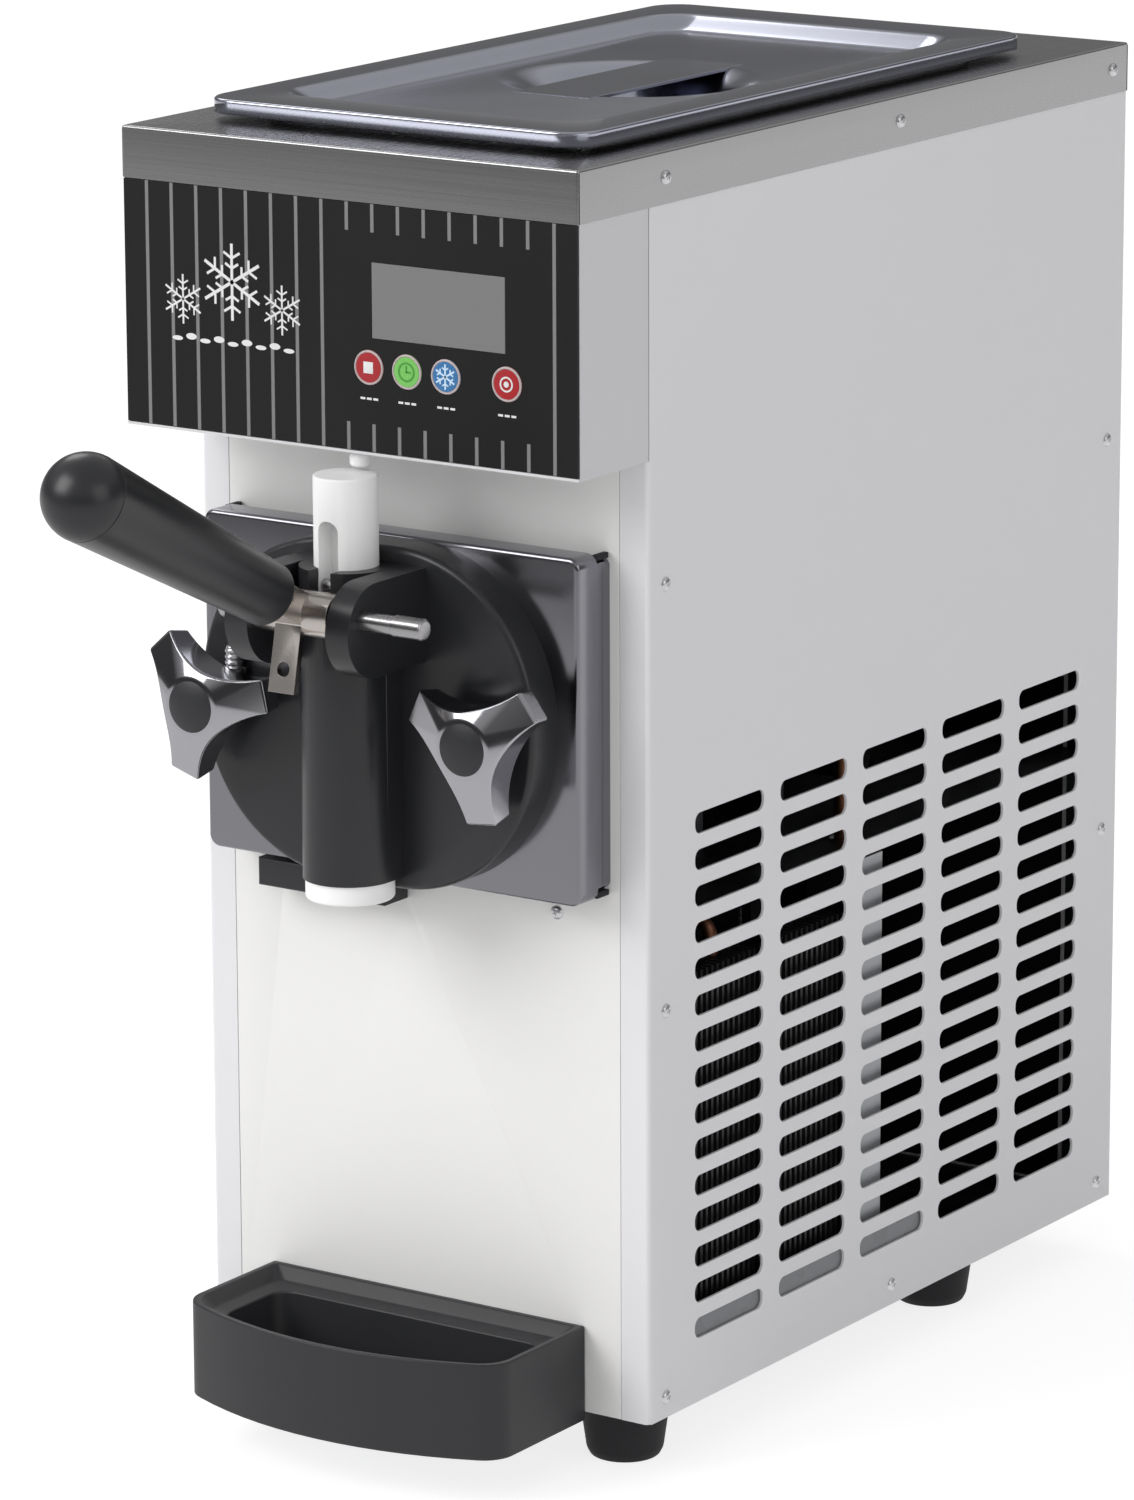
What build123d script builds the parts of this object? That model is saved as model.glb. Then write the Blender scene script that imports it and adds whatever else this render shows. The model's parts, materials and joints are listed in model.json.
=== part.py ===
from build123d import *
import os
from math import asin, cos, degrees, radians, sin, tan

# Counter-top soft-serve machine in millimetres, +Z up, its front towards -Y.
# Pieces are modelled from the cap's front face (Y = 0), the panels' bottom edge (Z = 0) and the middle (X = 0).
# On export they move so that the origin lies under the middle of the whole machine, on the soles of its feet.

# Case
CASE_WIDTH = 220.0
CAP_DEPTH = 424.0
CAP_TOP = 519.6
CAP_SKIRT = 21.0
CAP_CORNER = 1.0
CAP_BACK_LIP = 1.0
SHEET = 1.2
PANEL_STEP = 0.3
HEAD_DEPTH = 49.0
HEAD_BOTTOM = 398.3
HEAD_LIP = 1.1
RETURN_WIDTH = 13.7
SEAM = 0.3

# Frame
FRAME_SHEET = 1.5
POST_WIDTH = 22.0
BASE_FLANGE = 20.0
BASE_TALL_FLANGE = 36.5
BASE_TALL_LENGTH = 192.0
RAIL_HEIGHT = 22.0
SHELF_TOP = 204.2

# Vent slots of the side panels and of the rear panel
VENT_COLUMNS = 5
VENT_ROWS = 15
VENT_LENGTH = 51.4
VENT_HEIGHT = 8.8
VENT_CORNER = 3.8
VENT_COLUMN_PITCH = 63.9
VENT_ROW_PITCH = 15.2
VENT_FIRST_FROM_FRONT = 59.2
VENT_LOWEST = 31.6
REAR_VENT_COLUMNS = 2
REAR_VENT_ROWS = 8
REAR_VENT_PITCH = 72.0
REAR_VENT_LOWEST = 107.6

# Case screws
SCREW_R = 1.5
SCREW_LENGTH = 6.0
SCREW_HEAD_R = 3.0
SCREW_HEAD_HEIGHT = 1.6
SCREW_HOLE_GAP = 0.1
SCREW_INSET = 12.0
SCREW_HEIGHTS = (9.0, 172.0, 347.0)
SCREW_SKIRT_DROP = 10.6
REAR_SCREW_X = 91.0
REAR_SCREW_HEIGHTS = (30.0, 250.0, 470.0)
FRONT_SCREW_X = 65.3
FRONT_SCREW_Z = 209.0

# Feet
FOOT_HEIGHT = 24.0
FOOT_TOP_R = 17.5
FOOT_SOLE_R = 14.5
FOOT_EDGE = 1.5
FOOT_X = 81.0
FOOT_FRONT_Y = 74.0
FOOT_REAR_Y = 316.0

# Hopper, its lid and gasket
LID_WIDTH = 184.0
LID_LENGTH = 342.0
LID_FRONT = 28.5
LID_CORNER = 14.0
LID_RIM_HEIGHT = 6.0
LID_RIM_SIDE = 16.0
LID_RIM_END = 24.0
LID_GAP = 2.9
LID_SLOPE = 6.0
LID_RECESS_CORNER = 26.0
CUP_HALF_X = 56.0
CUP_HALF_Y = 54.0
CUP_DRAFT = 8.0
CUP_DEPTH = 14.0
CUP_Y_FROM_FRONT = 172.5
BRIDGE_WIDTH = 37.0
BRIDGE_LAP = 7.0
BRIDGE_SHEET = 1.5
HOPPER_HALF_WIDTH = 72.0
HOPPER_END_GAP = 24.0
HOPPER_CORNER = 18.0
HOPPER_FLOOR = 402.0
HOPPER_FLANGE = 10.0
HOPPER_CAP_GAP = 0.3
GASKET_WIDTH = 4.5
GASKET_SEAT_GAP = 0.2
FEED_Y = 70.0
FEED_R = 8.0
FEED_WALL = 1.5
FEED_GAP = 0.05
FEED_TOP = 470.0
SPIGOT_WALL = 1.5

# Controls
OVERLAY = 1.2
WINDOW_LEFT = 12.0
WINDOW_RIGHT = 75.7
WINDOW_BOTTOM = 445.0
WINDOW_TOP = 475.4
WINDOW_LEDGE = 4.0
WINDOW_GAP = 0.1
BUTTON_R = 7.0
BUTTON_GAP = 0.2
BUTTON_PROUD = 0.6
BUTTON_FLANGE_R = 8.6
BUTTON_FLANGE = 1.5
BUTTON_STOP_GAP = 0.3
BUTTON_TRAVEL = 0.8
BUTTON_Z = 433.4
BUTTON_X = {"stop_button": 10.6, "clean_button": 28.9, "cool_button": 47.5, "set_button": 76.4}
BOARD_Y = 12.0
BOARD = 1.6
BOARD_LEFT = 0.5
BOARD_RIGHT = 100.0
BOARD_BOTTOM = 424.0
BOARD_TOP = 490.0
PLUNGER_Y = 8.0
PLUNGER_R = 4.2
PLUNGER_GAP = 0.1
PLUNGER_COLLAR_R = 5.6
PLUNGER_COLLAR = 2.0
PLUNGER_LENGTH = 13.5
PLUNGER_TRAVEL = 6.6
PLUNGER_LOST = 1.5
SWITCH_HALF_WIDTH = 12.0
SWITCH_DEPTH = 14.0
SWITCH_HEIGHT = 9.0

# Freezing cylinder and what drives its beater
CYLINDER_Z = 290.0
CYLINDER_R = 50.0
CYLINDER_WALL = 2.0
CYLINDER_END = 246.0
CYLINDER_FLANGE_R = 60.0
CYLINDER_FLANGE = 6.0
JACKET_WALL = 6.0
JACKET_FRONT = 60.0
FOAM_WALL = 14.0
FOAM_BACK = 245.0
LAYER_GAP = 0.05
SADDLE_HALF_WIDTH = 50.0
SADDLE_LENGTH = 15.0
SADDLE_Y = (165.0, 228.0)
SADDLE_RISE = 27.0
SHAFT_R = 9.0
SHAFT_GAP = 0.06
BEATER_NOSE_R = 8.0
BEATER_NOSE_DEPTH = 7.0
BEATER_FRONT = 30.0
BEATER_ARMS_Y = (48.0, 138.0, 228.0)
BEATER_ARM = 10.0
BLADE_TIP_GAP = 0.6
BLADE_DEPTH = 9.0
BLADE_WIDTH = 5.0
BLADE_FRONT = 40.0
BLADE_END_GAP = 3.0
SEAL_R = 15.0
SEAL_LENGTH = 5.0
GEARBOX_FRONT = 258.0
GEARBOX_LENGTH = 60.0
GEARBOX_HALF = 45.0
GEARBOX_COLLAR_R = 30.0
GEARBOX_CORNER = 10.0
PULLEY_SHAFT_R = 7.0
PULLEY_SHAFT_IN = 28.0
BELT_Y = 334.0
BELT_WIDTH = 9.0
BELT_THICKNESS = 5.0
BELT_GAP = 0.3
PULLEY_WIDTH = 16.0
PULLEY_RIM = 3.5
GEARBOX_PULLEY_R = 40.0
MOTOR_PULLEY_R = 20.0
MOTOR_Z = 85.0
MOTOR_R = 48.0
MOTOR_FRONT = 236.0
MOTOR_LENGTH = 80.0
MOTOR_BELL = 12.0
CRADLE_HALF_WIDTH = 42.0
CRADLE_TOP = 58.0
CRADLE_LENGTH = 50.0

# Refrigeration
COMPRESSOR_X = -45.0
COMPRESSOR_Y = 130.0
COMPRESSOR_R = 52.0
COMPRESSOR_TOP = 148.0
COMPRESSOR_DOME = 18.0
COMPRESSOR_PLATE_HALF_X = 53.0
COMPRESSOR_PLATE_HALF_Y = 58.0
COMPRESSOR_PLATE = 3.0
MOUNT_R = 9.0
MOUNT_HEIGHT = 15.5
MOUNT_INSET = 9.0
CONDENSER_INNER_X = 84.0
CONDENSER_DEPTH = 20.0
CONDENSER_FRONT = 84.0
CONDENSER_BACK = 208.0
CONDENSER_BOTTOM = 8.0
CONDENSER_TOP = 180.0
CONDENSER_FLANGE = 16.0
CONDENSER_REAR_FLANGE = 25.6
CONDENSER_REAR_TOP = 200.0
FIN_PITCH = 4.0
FIN_GROOVE = 2.4
FIN_GROOVE_DEPTH = 9.0
FAN_R = 54.5
FAN_TIP_GAP = 1.5
FAN_RING_WALL = 2.0
FAN_RING_LENGTH = 12.5
FAN_BLADES = 5
FAN_HUB_R = 16.0
FAN_WIDTH = 12.0
FAN_PITCH = 32.0
FAN_Z = 94.0
FAN_MOTOR_R = 20.0
FAN_MOTOR_LENGTH = 28.0
FAN_SHAFT_R = 2.5
FAN_SHAFT_GAP = 0.05
PIPE_R = 3.0
PIPE_BEND = 9.0
DRIER_X = -80.0
DRIER_Y = 230.0
DRIER_R = 10.0
DRIER_BOTTOM = 44.0
DRIER_TOP = 112.0
SUCTION_X = 87.0
LIQUID_Z = 28.0
RISER_HOLE_GAP = 2.0
CROSS_PIPE_DROP = 7.5

# Electric box and cord gland
BOX_DEPTH = 30.0
BOX_FRONT = 345.0
BOX_LENGTH = 50.0
BOX_BOTTOM = 215.0
BOX_HEIGHT = 130.0
GLAND_X = -60.0
GLAND_Z = 60.0
GLAND_BORE_R = 4.5
GLAND_THREAD_R = 9.0
GLAND_NUT_R = 13.0
GLAND_OUT = 12.0
GLAND_IN = 14.0
GLAND_LOCKNUT = 5.0

# Cylinder plate and dispensing head
PLATE_HALF_WIDTH = 92.0
PLATE_FRONT = 26.0
PLATE_BOTTOM = 219.5
PLATE_TOP = 361.0
PLATE_CORNER = 5.0
DOOR_WIDTH = 163.0
DOOR_HEIGHT = 140.0
DOOR_CORNER = 66.0
DOOR_FRONT = 9.0
DOOR_EDGE = 2.5
DOOR_GASKET_IN = 54.0
DOOR_GASKET_OUT = 57.0
DOOR_GASKET_DEPTH = 2.2
VALVE_Y = -2.0
PISTON_R = 13.0
PISTON_GAP = 0.08
PISTON_BOTTOM = 228.0
PISTON_TOP = 390.0
PISTON_EDGE = 0.8
BARREL_R = 19.0
BARREL_BOTTOM = 226.0
ARM_TOP = 353.6
ARM_HEIGHT = 38.1
ARM_INNER = 19.0
ARM_THICKNESS = 11.0
ARM_NOSE = -43.0
PORT_HALF_WIDTH = 10.0
PORT_BOTTOM = 229.5
PORT_HEIGHT = 6.0
SLOT_WIDTH = 9.6
SLOT_BOTTOM = 332.0
SLOT_TOP = 373.0
SLOT_DEPTH = 9.5
SEAL_RING = 2.2
SEAL_RING_DEPTH = 2.0
SEAL_RING_Z = (244.0, 322.0)
NOZZLE_R = 18.0
NOZZLE_HEIGHT = 8.5
NOZZLE_HOLE_R = 9.0
NOZZLE_LOBE_R = 3.0
NOZZLE_LOBES = 6

# Lever
PIVOT_Y = -33.0
PIVOT_Z = 340.0
PIVOT_R = 4.0
PIVOT_GAP = 0.05
PIVOT_RIGHT = 60.0
PIVOT_LEFT = 33.0
PIVOT_KNURL_R = 4.4
PIVOT_KNURL = 14.0
PIVOT_HEAD_R = 6.5
LEVER_TILT = 27.2
LEVER_SIDE_GAP = 0.5
BOSS_R = 9.0
NECK_WIDTH = 13.0
NUT_R = 9.5
NUT_LENGTH = 5.0
ROD_R = 5.0
ROD_LENGTH = 95.0
GRIP_START = 24.0
GRIP_START_R = 12.2
GRIP_END = 150.7
GRIP_END_R = 17.5
GRIP_EDGE = 2.0
TAB_WIDTH = 12.5
TAB_LENGTH = 31.0
TAB_SHEET = 3.0
TAB_TILT = 12.0
TAB_HOLE_R = 3.0
FINGER_ARM = 22.6
FINGER_R = 3.5
FINGER_WIDTH = 8.6
LIFT_PIN_R = 2.5
LIFT_PIN_HALF = 6.5
LIFT_PIN_GAP = 0.3

# Star knobs
KNOB_X = 66.5
KNOB_REACH = 33.0
KNOB_TIP_HALF = 7.0
KNOB_WAIST = 15.5
KNOB_BACK = 1.0
KNOB_FACE = -18.0
KNOB_TIP_FACE = -10.0
KNOB_HUB_R = 10.0
KNOB_HUB_GAP = 0.4
KNOB_EDGE = 0.8
KNOB_TURN = {"left_knob": 12.0, "right_knob": 36.0}
CAP_DISC_R = 12.3
CAP_DISC_SINK = 1.5
CAP_DISC_PROUD = 2.5
STUD_R = 4.0
STUD_TIP = -10.0
STUD_GAP = 0.06
STUD_HEAD_R = 8.0
STUD_HEAD = 5.0
COLLAR_R = 7.5
COLLAR = 4.0

# Drip tray and leak drawer
TRAY_HALF_WIDTH = 78.5
TRAY_BOTTOM = -3.5
TRAY_TOP = 37.0
TRAY_BACK_GAP = 0.3
TRAY_FRONT = -31.0
TRAY_SIDE_FRONT = -12.0
TRAY_CORNER = 17.0
TRAY_WALL = 3.2
TRAY_LEDGE = 7.0
TRAY_LEDGE_DROP = 7.0
TRAY_FLOOR = 3.0
BRACKET_HALF_WIDTH = 45.0
BRACKET_SHEET = 2.0
BRACKET_GAP = 0.2
BRACKET_FRONT = -8.0
BRACKET_BACK = 100.0
BRACKET_PAD_FRONT = 60.0
DRAWER_LEFT = -71.5
DRAWER_RIGHT = -8.0
DRAWER_FRONT = 32.0
DRAWER_BACK = 155.0
DRAWER_BOTTOM = 204.4
DRAWER_TOP = 216.2
DRAWER_STEP = 2.0
DRAWER_WALL = 1.6
DRAWER_GAP = 0.4

# Levels and faces that follow from the sizes above
half_width = CASE_WIDTH / 2
panel_out = half_width - PANEL_STEP
panel_in = panel_out - SHEET
skirt_bottom = CAP_TOP - CAP_SKIRT
cap_under = CAP_TOP - SHEET
body_front = HEAD_DEPTH
body_back = CAP_DEPTH - CAP_BACK_LIP
front_in = body_front + SHEET
back_in = body_back - SHEET
post_face = front_in + FRAME_SHEET
rear_post_face = back_in - FRAME_SHEET
side_free_front = front_in + POST_WIDTH + SEAM
side_free_back = back_in - POST_WIDTH - SEAM
screw_y = (body_front + SCREW_INSET, (body_front + body_back) / 2, body_back - SCREW_INSET)
shelf_bottom = SHELF_TOP - FRAME_SHEET

lid_middle = LID_FRONT + LID_LENGTH / 2
flange_top = CAP_TOP + SHEET
rim_bottom = CAP_TOP + LID_GAP
rim_top = rim_bottom + LID_RIM_HEIGHT
recess_floor = rim_top - LID_SLOPE
cup_y = LID_FRONT + CUP_Y_FROM_FRONT
hopper_length = LID_LENGTH - 2 * HOPPER_END_GAP
spigot_r = FEED_R + FEED_GAP + SPIGOT_WALL

shell_r = CYLINDER_R + CYLINDER_WALL
jacket_r = shell_r + JACKET_WALL
foam_r = jacket_r + FOAM_WALL
flange_back = CYLINDER_END + CYLINDER_FLANGE
gearbox_back = GEARBOX_FRONT + GEARBOX_LENGTH
gearbox_split = GEARBOX_FRONT + GEARBOX_LENGTH / 2
motor_back = MOTOR_FRONT + MOTOR_LENGTH
condenser_outer_x = CONDENSER_INNER_X + CONDENSER_DEPTH
fan_y = (CONDENSER_FRONT + CONDENSER_BACK) / 2
shroud_x = CONDENSER_INNER_X - FRAME_SHEET
fan_ring_r = FAN_R + FAN_TIP_GAP
fan_ring_x = shroud_x - FAN_RING_LENGTH
cross_pipe_z = shelf_bottom - CROSS_PIPE_DROP

door_z = (PLATE_BOTTOM + PLATE_TOP) / 2
arm_bottom = ARM_TOP - ARM_HEIGHT
arm_outer = ARM_INNER + ARM_THICKNESS
lift_pin_y = PIVOT_Y + FINGER_ARM
lift_pin_z = PIVOT_Z + FINGER_R + LIFT_PIN_R + LIFT_PIN_GAP
knob_back_y = DOOR_FRONT - COLLAR - KNOB_HUB_GAP
tilt_cos = cos(radians(LEVER_TILT))
tilt_sin = sin(radians(LEVER_TILT))
plunger_bottom = PISTON_TOP + PLUNGER_LOST

# The whole machine reaches from the ball of the lever to the end of the cord gland.
reach_front = PIVOT_Y - GRIP_END * tilt_cos - GRIP_END_R
reach_back = body_back + GLAND_OUT
shift_y = -(reach_front + reach_back) / 2
shift_z = FOOT_HEIGHT


def block(x0, x1, y0, y1, z0, z1):
    """Box between two corners."""
    return Pos((x0 + x1) / 2, (y0 + y1) / 2, (z0 + z1) / 2) * Box(x1 - x0, y1 - y0, z1 - z0)


def rod_x(radius, x0, x1, y, z):
    return Pos((x0 + x1) / 2, y, z) * Rot(0, 90, 0) * Cylinder(radius, x1 - x0)


def rod_y(radius, y0, y1, x, z):
    return Pos(x, (y0 + y1) / 2, z) * Rot(90, 0, 0) * Cylinder(radius, y1 - y0)


def rod_z(radius, z0, z1, x, y):
    return Pos(x, y, (z0 + z1) / 2) * Cylinder(radius, z1 - z0)


def wall_x(sketch, x0, x1):
    """Extrude a sketch drawn in Y and Z between two X planes."""
    plane = Plane(origin=(x0, 0, 0), x_dir=(0, 1, 0), z_dir=(1, 0, 0))
    return extrude(plane * sketch, amount=x1 - x0)


def wall_y(sketch, y0, y1):
    """Extrude a sketch drawn in X and Z between two Y planes."""
    plane = Plane(origin=(0, y1, 0), x_dir=(1, 0, 0), z_dir=(0, -1, 0))
    return extrude(plane * sketch, amount=y1 - y0)


def wall_z(sketch, z0, z1):
    """Extrude a sketch drawn in X and Y between two levels."""
    return extrude(Plane.XY.offset(z0) * sketch, amount=z1 - z0)


def both_sides(piece):
    """A piece and its mirror image across the middle plane."""
    return [piece, mirror(piece, Plane.YZ)]


def ring_y(inner, outer, y0, y1, x, z):
    return rod_y(outer, y0, y1, x, z) - rod_y(inner, y0 - 1, y1 + 1, x, z)


def rounded(width, length, corner, x=0, y=0):
    return Pos(x, y) * RectangleRounded(width, length, corner)


# Screws: where each one enters, its outer face and its direction

def side_screw_seats():
    """(y, z, face) for the right-hand side; the left side mirrors it."""
    seats = [(y, CAP_TOP - SCREW_SKIRT_DROP, half_width) for y in screw_y]
    low, *upper = SCREW_HEIGHTS
    seats += [(y, low, panel_out) for y in screw_y]
    seats += [(y, z, panel_out) for z in upper for y in (screw_y[0], screw_y[2])]
    return seats


def rear_screw_seats():
    return [(x, z) for x in (-REAR_SCREW_X, REAR_SCREW_X) for z in REAR_SCREW_HEIGHTS]


def screw(head_base):
    """Domed screw that points along -Z below the given seat level."""
    shank = Pos(0, 0, head_base - SCREW_LENGTH / 2) * Cylinder(SCREW_R, SCREW_LENGTH)
    head = Pos(0, 0, head_base + SCREW_HEAD_HEIGHT / 2) * Cylinder(SCREW_HEAD_R, SCREW_HEAD_HEIGHT)
    top_edge = head.edges().sort_by(Axis.Z)[-1]
    return shank + fillet(top_edge, SCREW_HEAD_HEIGHT * 0.7)


def drill_sides(piece):
    """Clear the side screws' shanks out of a piece."""
    hole = SCREW_R + SCREW_HOLE_GAP
    holes = []
    for y, z, face in side_screw_seats():
        holes += both_sides(rod_x(hole, face - SCREW_LENGTH - 1, face + 1, y, z))
    return piece - holes


def drill_rear(piece):
    hole = SCREW_R + SCREW_HOLE_GAP
    return piece - [rod_y(hole, body_back - SCREW_LENGTH - 1, body_back + 1, x, z) for x, z in rear_screw_seats()]


def make_case_screws():
    screws = []
    for y, z, face in side_screw_seats():
        screws += both_sides(Pos(0, y, z) * Rot(0, 90, 0) * screw(face))
    for x, z in rear_screw_seats():
        screws.append(Pos(x, 0, z) * Rot(-90, 0, 0) * screw(body_back))
    screws.append(Pos(FRONT_SCREW_X, 0, FRONT_SCREW_Z) * Rot(90, 0, 0) * screw(-body_front))
    return screws


# Case and frame

def make_base_plate():
    """Floor sheet with turned-up sides, taller in front, and the cradle that carries the motor."""
    floor = block(-panel_in, panel_in, front_in, back_in, 0, FRAME_SHEET)
    web = panel_in - FRAME_SHEET
    flange = block(web, panel_in, side_free_front, side_free_back, FRAME_SHEET, BASE_FLANGE)
    flange += block(web, panel_in, side_free_front, side_free_front + BASE_TALL_LENGTH, FRAME_SHEET, BASE_TALL_FLANGE)
    plate = floor
    for side in both_sides(flange):
        plate += side
    y0 = (MOTOR_FRONT + motor_back - CRADLE_LENGTH) / 2
    cradle = block(-CRADLE_HALF_WIDTH, CRADLE_HALF_WIDTH, y0, y0 + CRADLE_LENGTH, FRAME_SHEET, CRADLE_TOP)
    plate += cradle - rod_y(MOTOR_R + LAYER_GAP, y0 - 1, y0 + CRADLE_LENGTH + 1, 0, MOTOR_Z)
    return drill_sides(plate)


def make_frame_posts():
    """Four angle posts and the two rails that join them under the cap."""
    inner = panel_in - POST_WIDTH
    web = panel_in - FRAME_SHEET
    front = block(inner, panel_in, front_in, post_face, FRAME_SHEET, cap_under)
    front += block(web, panel_in, front_in, front_in + POST_WIDTH, FRAME_SHEET, cap_under)
    back = block(inner, panel_in, rear_post_face, back_in, FRAME_SHEET, cap_under)
    back += block(web, panel_in, back_in - POST_WIDTH, back_in, FRAME_SHEET, cap_under)
    rail = block(web, panel_in, side_free_front, side_free_back, cap_under - RAIL_HEIGHT, cap_under)
    pieces = []
    for piece in (front, back, rail):
        pieces += both_sides(piece)
    return [drill_rear(drill_sides(piece)) - front_screw_hole() for piece in pieces]


def front_screw_hole():
    hole = SCREW_R + SCREW_HOLE_GAP
    return rod_y(hole, body_front - 1, body_front + SCREW_LENGTH + 1, FRONT_SCREW_X, FRONT_SCREW_Z)


def side_vents():
    first = body_front + VENT_FIRST_FROM_FRONT
    slots = [
        rounded(VENT_LENGTH, VENT_HEIGHT, VENT_CORNER, first + column * VENT_COLUMN_PITCH,
                VENT_LOWEST + row * VENT_ROW_PITCH)
        for column in range(VENT_COLUMNS)
        for row in range(VENT_ROWS)
    ]
    return wall_x(Sketch() + slots, panel_in - 1, panel_out + 1)


def make_right_side_panel():
    inner = panel_out - RETURN_WIDTH
    panel = block(panel_in, panel_out, body_front, body_back, 0, skirt_bottom)
    panel += block(inner, panel_out, body_front, front_in, 0, skirt_bottom)
    panel += block(inner, panel_out, back_in, body_back, 0, skirt_bottom)
    return drill_sides(panel - side_vents())


def make_front_panel():
    edge = panel_out - RETURN_WIDTH - SEAM
    panel = block(-edge, edge, body_front, front_in, 0, HEAD_BOTTOM - SEAM)
    panel -= rod_y(jacket_r + SEAM, body_front - 1, front_in + 1, 0, CYLINDER_Z)
    panel -= drawer_body(DRAWER_GAP)
    return panel - front_screw_hole()


def make_rear_panel():
    edge = panel_out - RETURN_WIDTH - SEAM
    panel = block(-edge, edge, back_in, body_back, 0, skirt_bottom)
    slots = [
        rounded(VENT_LENGTH, VENT_HEIGHT, VENT_CORNER, (column - (REAR_VENT_COLUMNS - 1) / 2) * REAR_VENT_PITCH,
                REAR_VENT_LOWEST + row * VENT_ROW_PITCH)
        for column in range(REAR_VENT_COLUMNS)
        for row in range(REAR_VENT_ROWS)
    ]
    panel -= wall_y(Sketch() + slots, back_in - 1, body_back + 1)
    panel -= rod_y(GLAND_THREAD_R + SCREW_HOLE_GAP, back_in - 1, body_back + 1, GLAND_X, GLAND_Z)
    return drill_rear(panel)


def make_top_cover():
    cap = block(-half_width, half_width, 0, CAP_DEPTH, skirt_bottom, CAP_TOP)
    cap = fillet(cap.edges().filter_by(Axis.Z) + cap.faces().sort_by(Axis.Z)[-1].edges(), CAP_CORNER)
    inner = half_width - SHEET
    cap -= block(-inner, inner, SHEET, CAP_DEPTH - SHEET, skirt_bottom - 1, cap_under)
    opening = rounded(
        2 * (HOPPER_HALF_WIDTH + SHEET + HOPPER_CAP_GAP),
        hopper_length + 2 * (SHEET + HOPPER_CAP_GAP),
        HOPPER_CORNER + SHEET + HOPPER_CAP_GAP, 0, lid_middle)
    return drill_sides(cap - wall_z(opening, cap_under - 1, CAP_TOP + 1))


def make_head_housing():
    front = OVERLAY + SHEET
    box = block(-panel_out, panel_out, OVERLAY, body_front, HEAD_BOTTOM, skirt_bottom)
    box -= block(-panel_in, panel_in, front, body_front + 1, HEAD_BOTTOM + SHEET, skirt_bottom + 1)
    box += block(-panel_out, panel_out, 0, OVERLAY, HEAD_BOTTOM, HEAD_BOTTOM + HEAD_LIP)
    box -= block(WINDOW_LEFT + WINDOW_LEDGE, WINDOW_RIGHT - WINDOW_LEDGE, 0, front + 1,
                 WINDOW_BOTTOM + WINDOW_LEDGE, WINDOW_TOP - WINDOW_LEDGE)
    box -= button_holes()
    return box - rod_z(PLUNGER_R + PLUNGER_GAP, HEAD_BOTTOM - 1, HEAD_BOTTOM + SHEET + 1, 0, PLUNGER_Y)


def make_cylinder_shelf():
    """Sheet across the frame with two saddles that carry the insulated cylinder."""
    web = panel_in - FRAME_SHEET
    shelf = block(-web, web, post_face, rear_post_face, shelf_bottom, SHELF_TOP)
    slot_half = GEARBOX_PULLEY_R + 4
    shelf -= block(-slot_half, slot_half, BELT_Y - PULLEY_WIDTH, BELT_Y + PULLEY_WIDTH, shelf_bottom - 1, SHELF_TOP + 1)
    for x in (DRIER_X, SUCTION_X):
        shelf -= rod_z(PIPE_R + RISER_HOLE_GAP, shelf_bottom - 1, SHELF_TOP + 1, x, DRIER_Y)
    for y in SADDLE_Y:
        saddle = block(-SADDLE_HALF_WIDTH, SADDLE_HALF_WIDTH, y, y + SADDLE_LENGTH, SHELF_TOP, SHELF_TOP + SADDLE_RISE)
        shelf += saddle - rod_y(foam_r + LAYER_GAP, y - 1, y + SADDLE_LENGTH + 1, 0, CYLINDER_Z)
    return shelf


def make_feet():
    feet = []
    for y in (FOOT_FRONT_Y, FOOT_REAR_Y):
        foot = Pos(FOOT_X, y, -FOOT_HEIGHT / 2) * Cone(FOOT_SOLE_R, FOOT_TOP_R, FOOT_HEIGHT)
        foot = fillet(foot.edges().sort_by(Axis.Z)[0], FOOT_EDGE)
        feet += both_sides(foot)
    return feet


def make_cord_gland():
    thread = rod_y(GLAND_THREAD_R, back_in - GLAND_IN, body_back + GLAND_OUT - 2, GLAND_X, GLAND_Z)
    nut = wall_y(Pos(GLAND_X, GLAND_Z) * RegularPolygon(GLAND_NUT_R, 6), body_back, body_back + GLAND_OUT * 0.6)
    dome = rod_y(GLAND_THREAD_R + 2, body_back, body_back + GLAND_OUT, GLAND_X, GLAND_Z)
    dome = fillet(dome.edges().sort_by(Axis.Y)[-1], 3)
    locknut = wall_y(Pos(GLAND_X, GLAND_Z) * RegularPolygon(GLAND_NUT_R, 6), back_in - GLAND_LOCKNUT, back_in)
    gland = thread + nut + dome + locknut
    return gland - rod_y(GLAND_BORE_R, back_in - GLAND_IN - 1, body_back + GLAND_OUT + 1, GLAND_X, GLAND_Z)


# Hopper

def make_hopper_pan():
    outer_corner = HOPPER_CORNER + SHEET
    flange = rounded(2 * (HOPPER_HALF_WIDTH + HOPPER_FLANGE), hopper_length + 2 * HOPPER_FLANGE,
                     HOPPER_CORNER + HOPPER_FLANGE, 0, lid_middle)
    outside = rounded(2 * (HOPPER_HALF_WIDTH + SHEET), hopper_length + 2 * SHEET, outer_corner, 0, lid_middle)
    inside = rounded(2 * HOPPER_HALF_WIDTH, hopper_length, HOPPER_CORNER, 0, lid_middle)
    pan = wall_z(flange, CAP_TOP, flange_top) + wall_z(outside, HOPPER_FLOOR - SHEET, flange_top)
    pan -= wall_z(inside, HOPPER_FLOOR, flange_top + 1)
    pan += rod_z(spigot_r, CYLINDER_Z + CYLINDER_R + LAYER_GAP, HOPPER_FLOOR, 0, FEED_Y)
    return pan - rod_z(FEED_R + FEED_GAP, CYLINDER_Z, HOPPER_FLOOR + 1, 0, FEED_Y)


def spigot_hole():
    return rod_z(spigot_r + LAYER_GAP, CYLINDER_Z, HOPPER_FLOOR, 0, FEED_Y)


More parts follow.
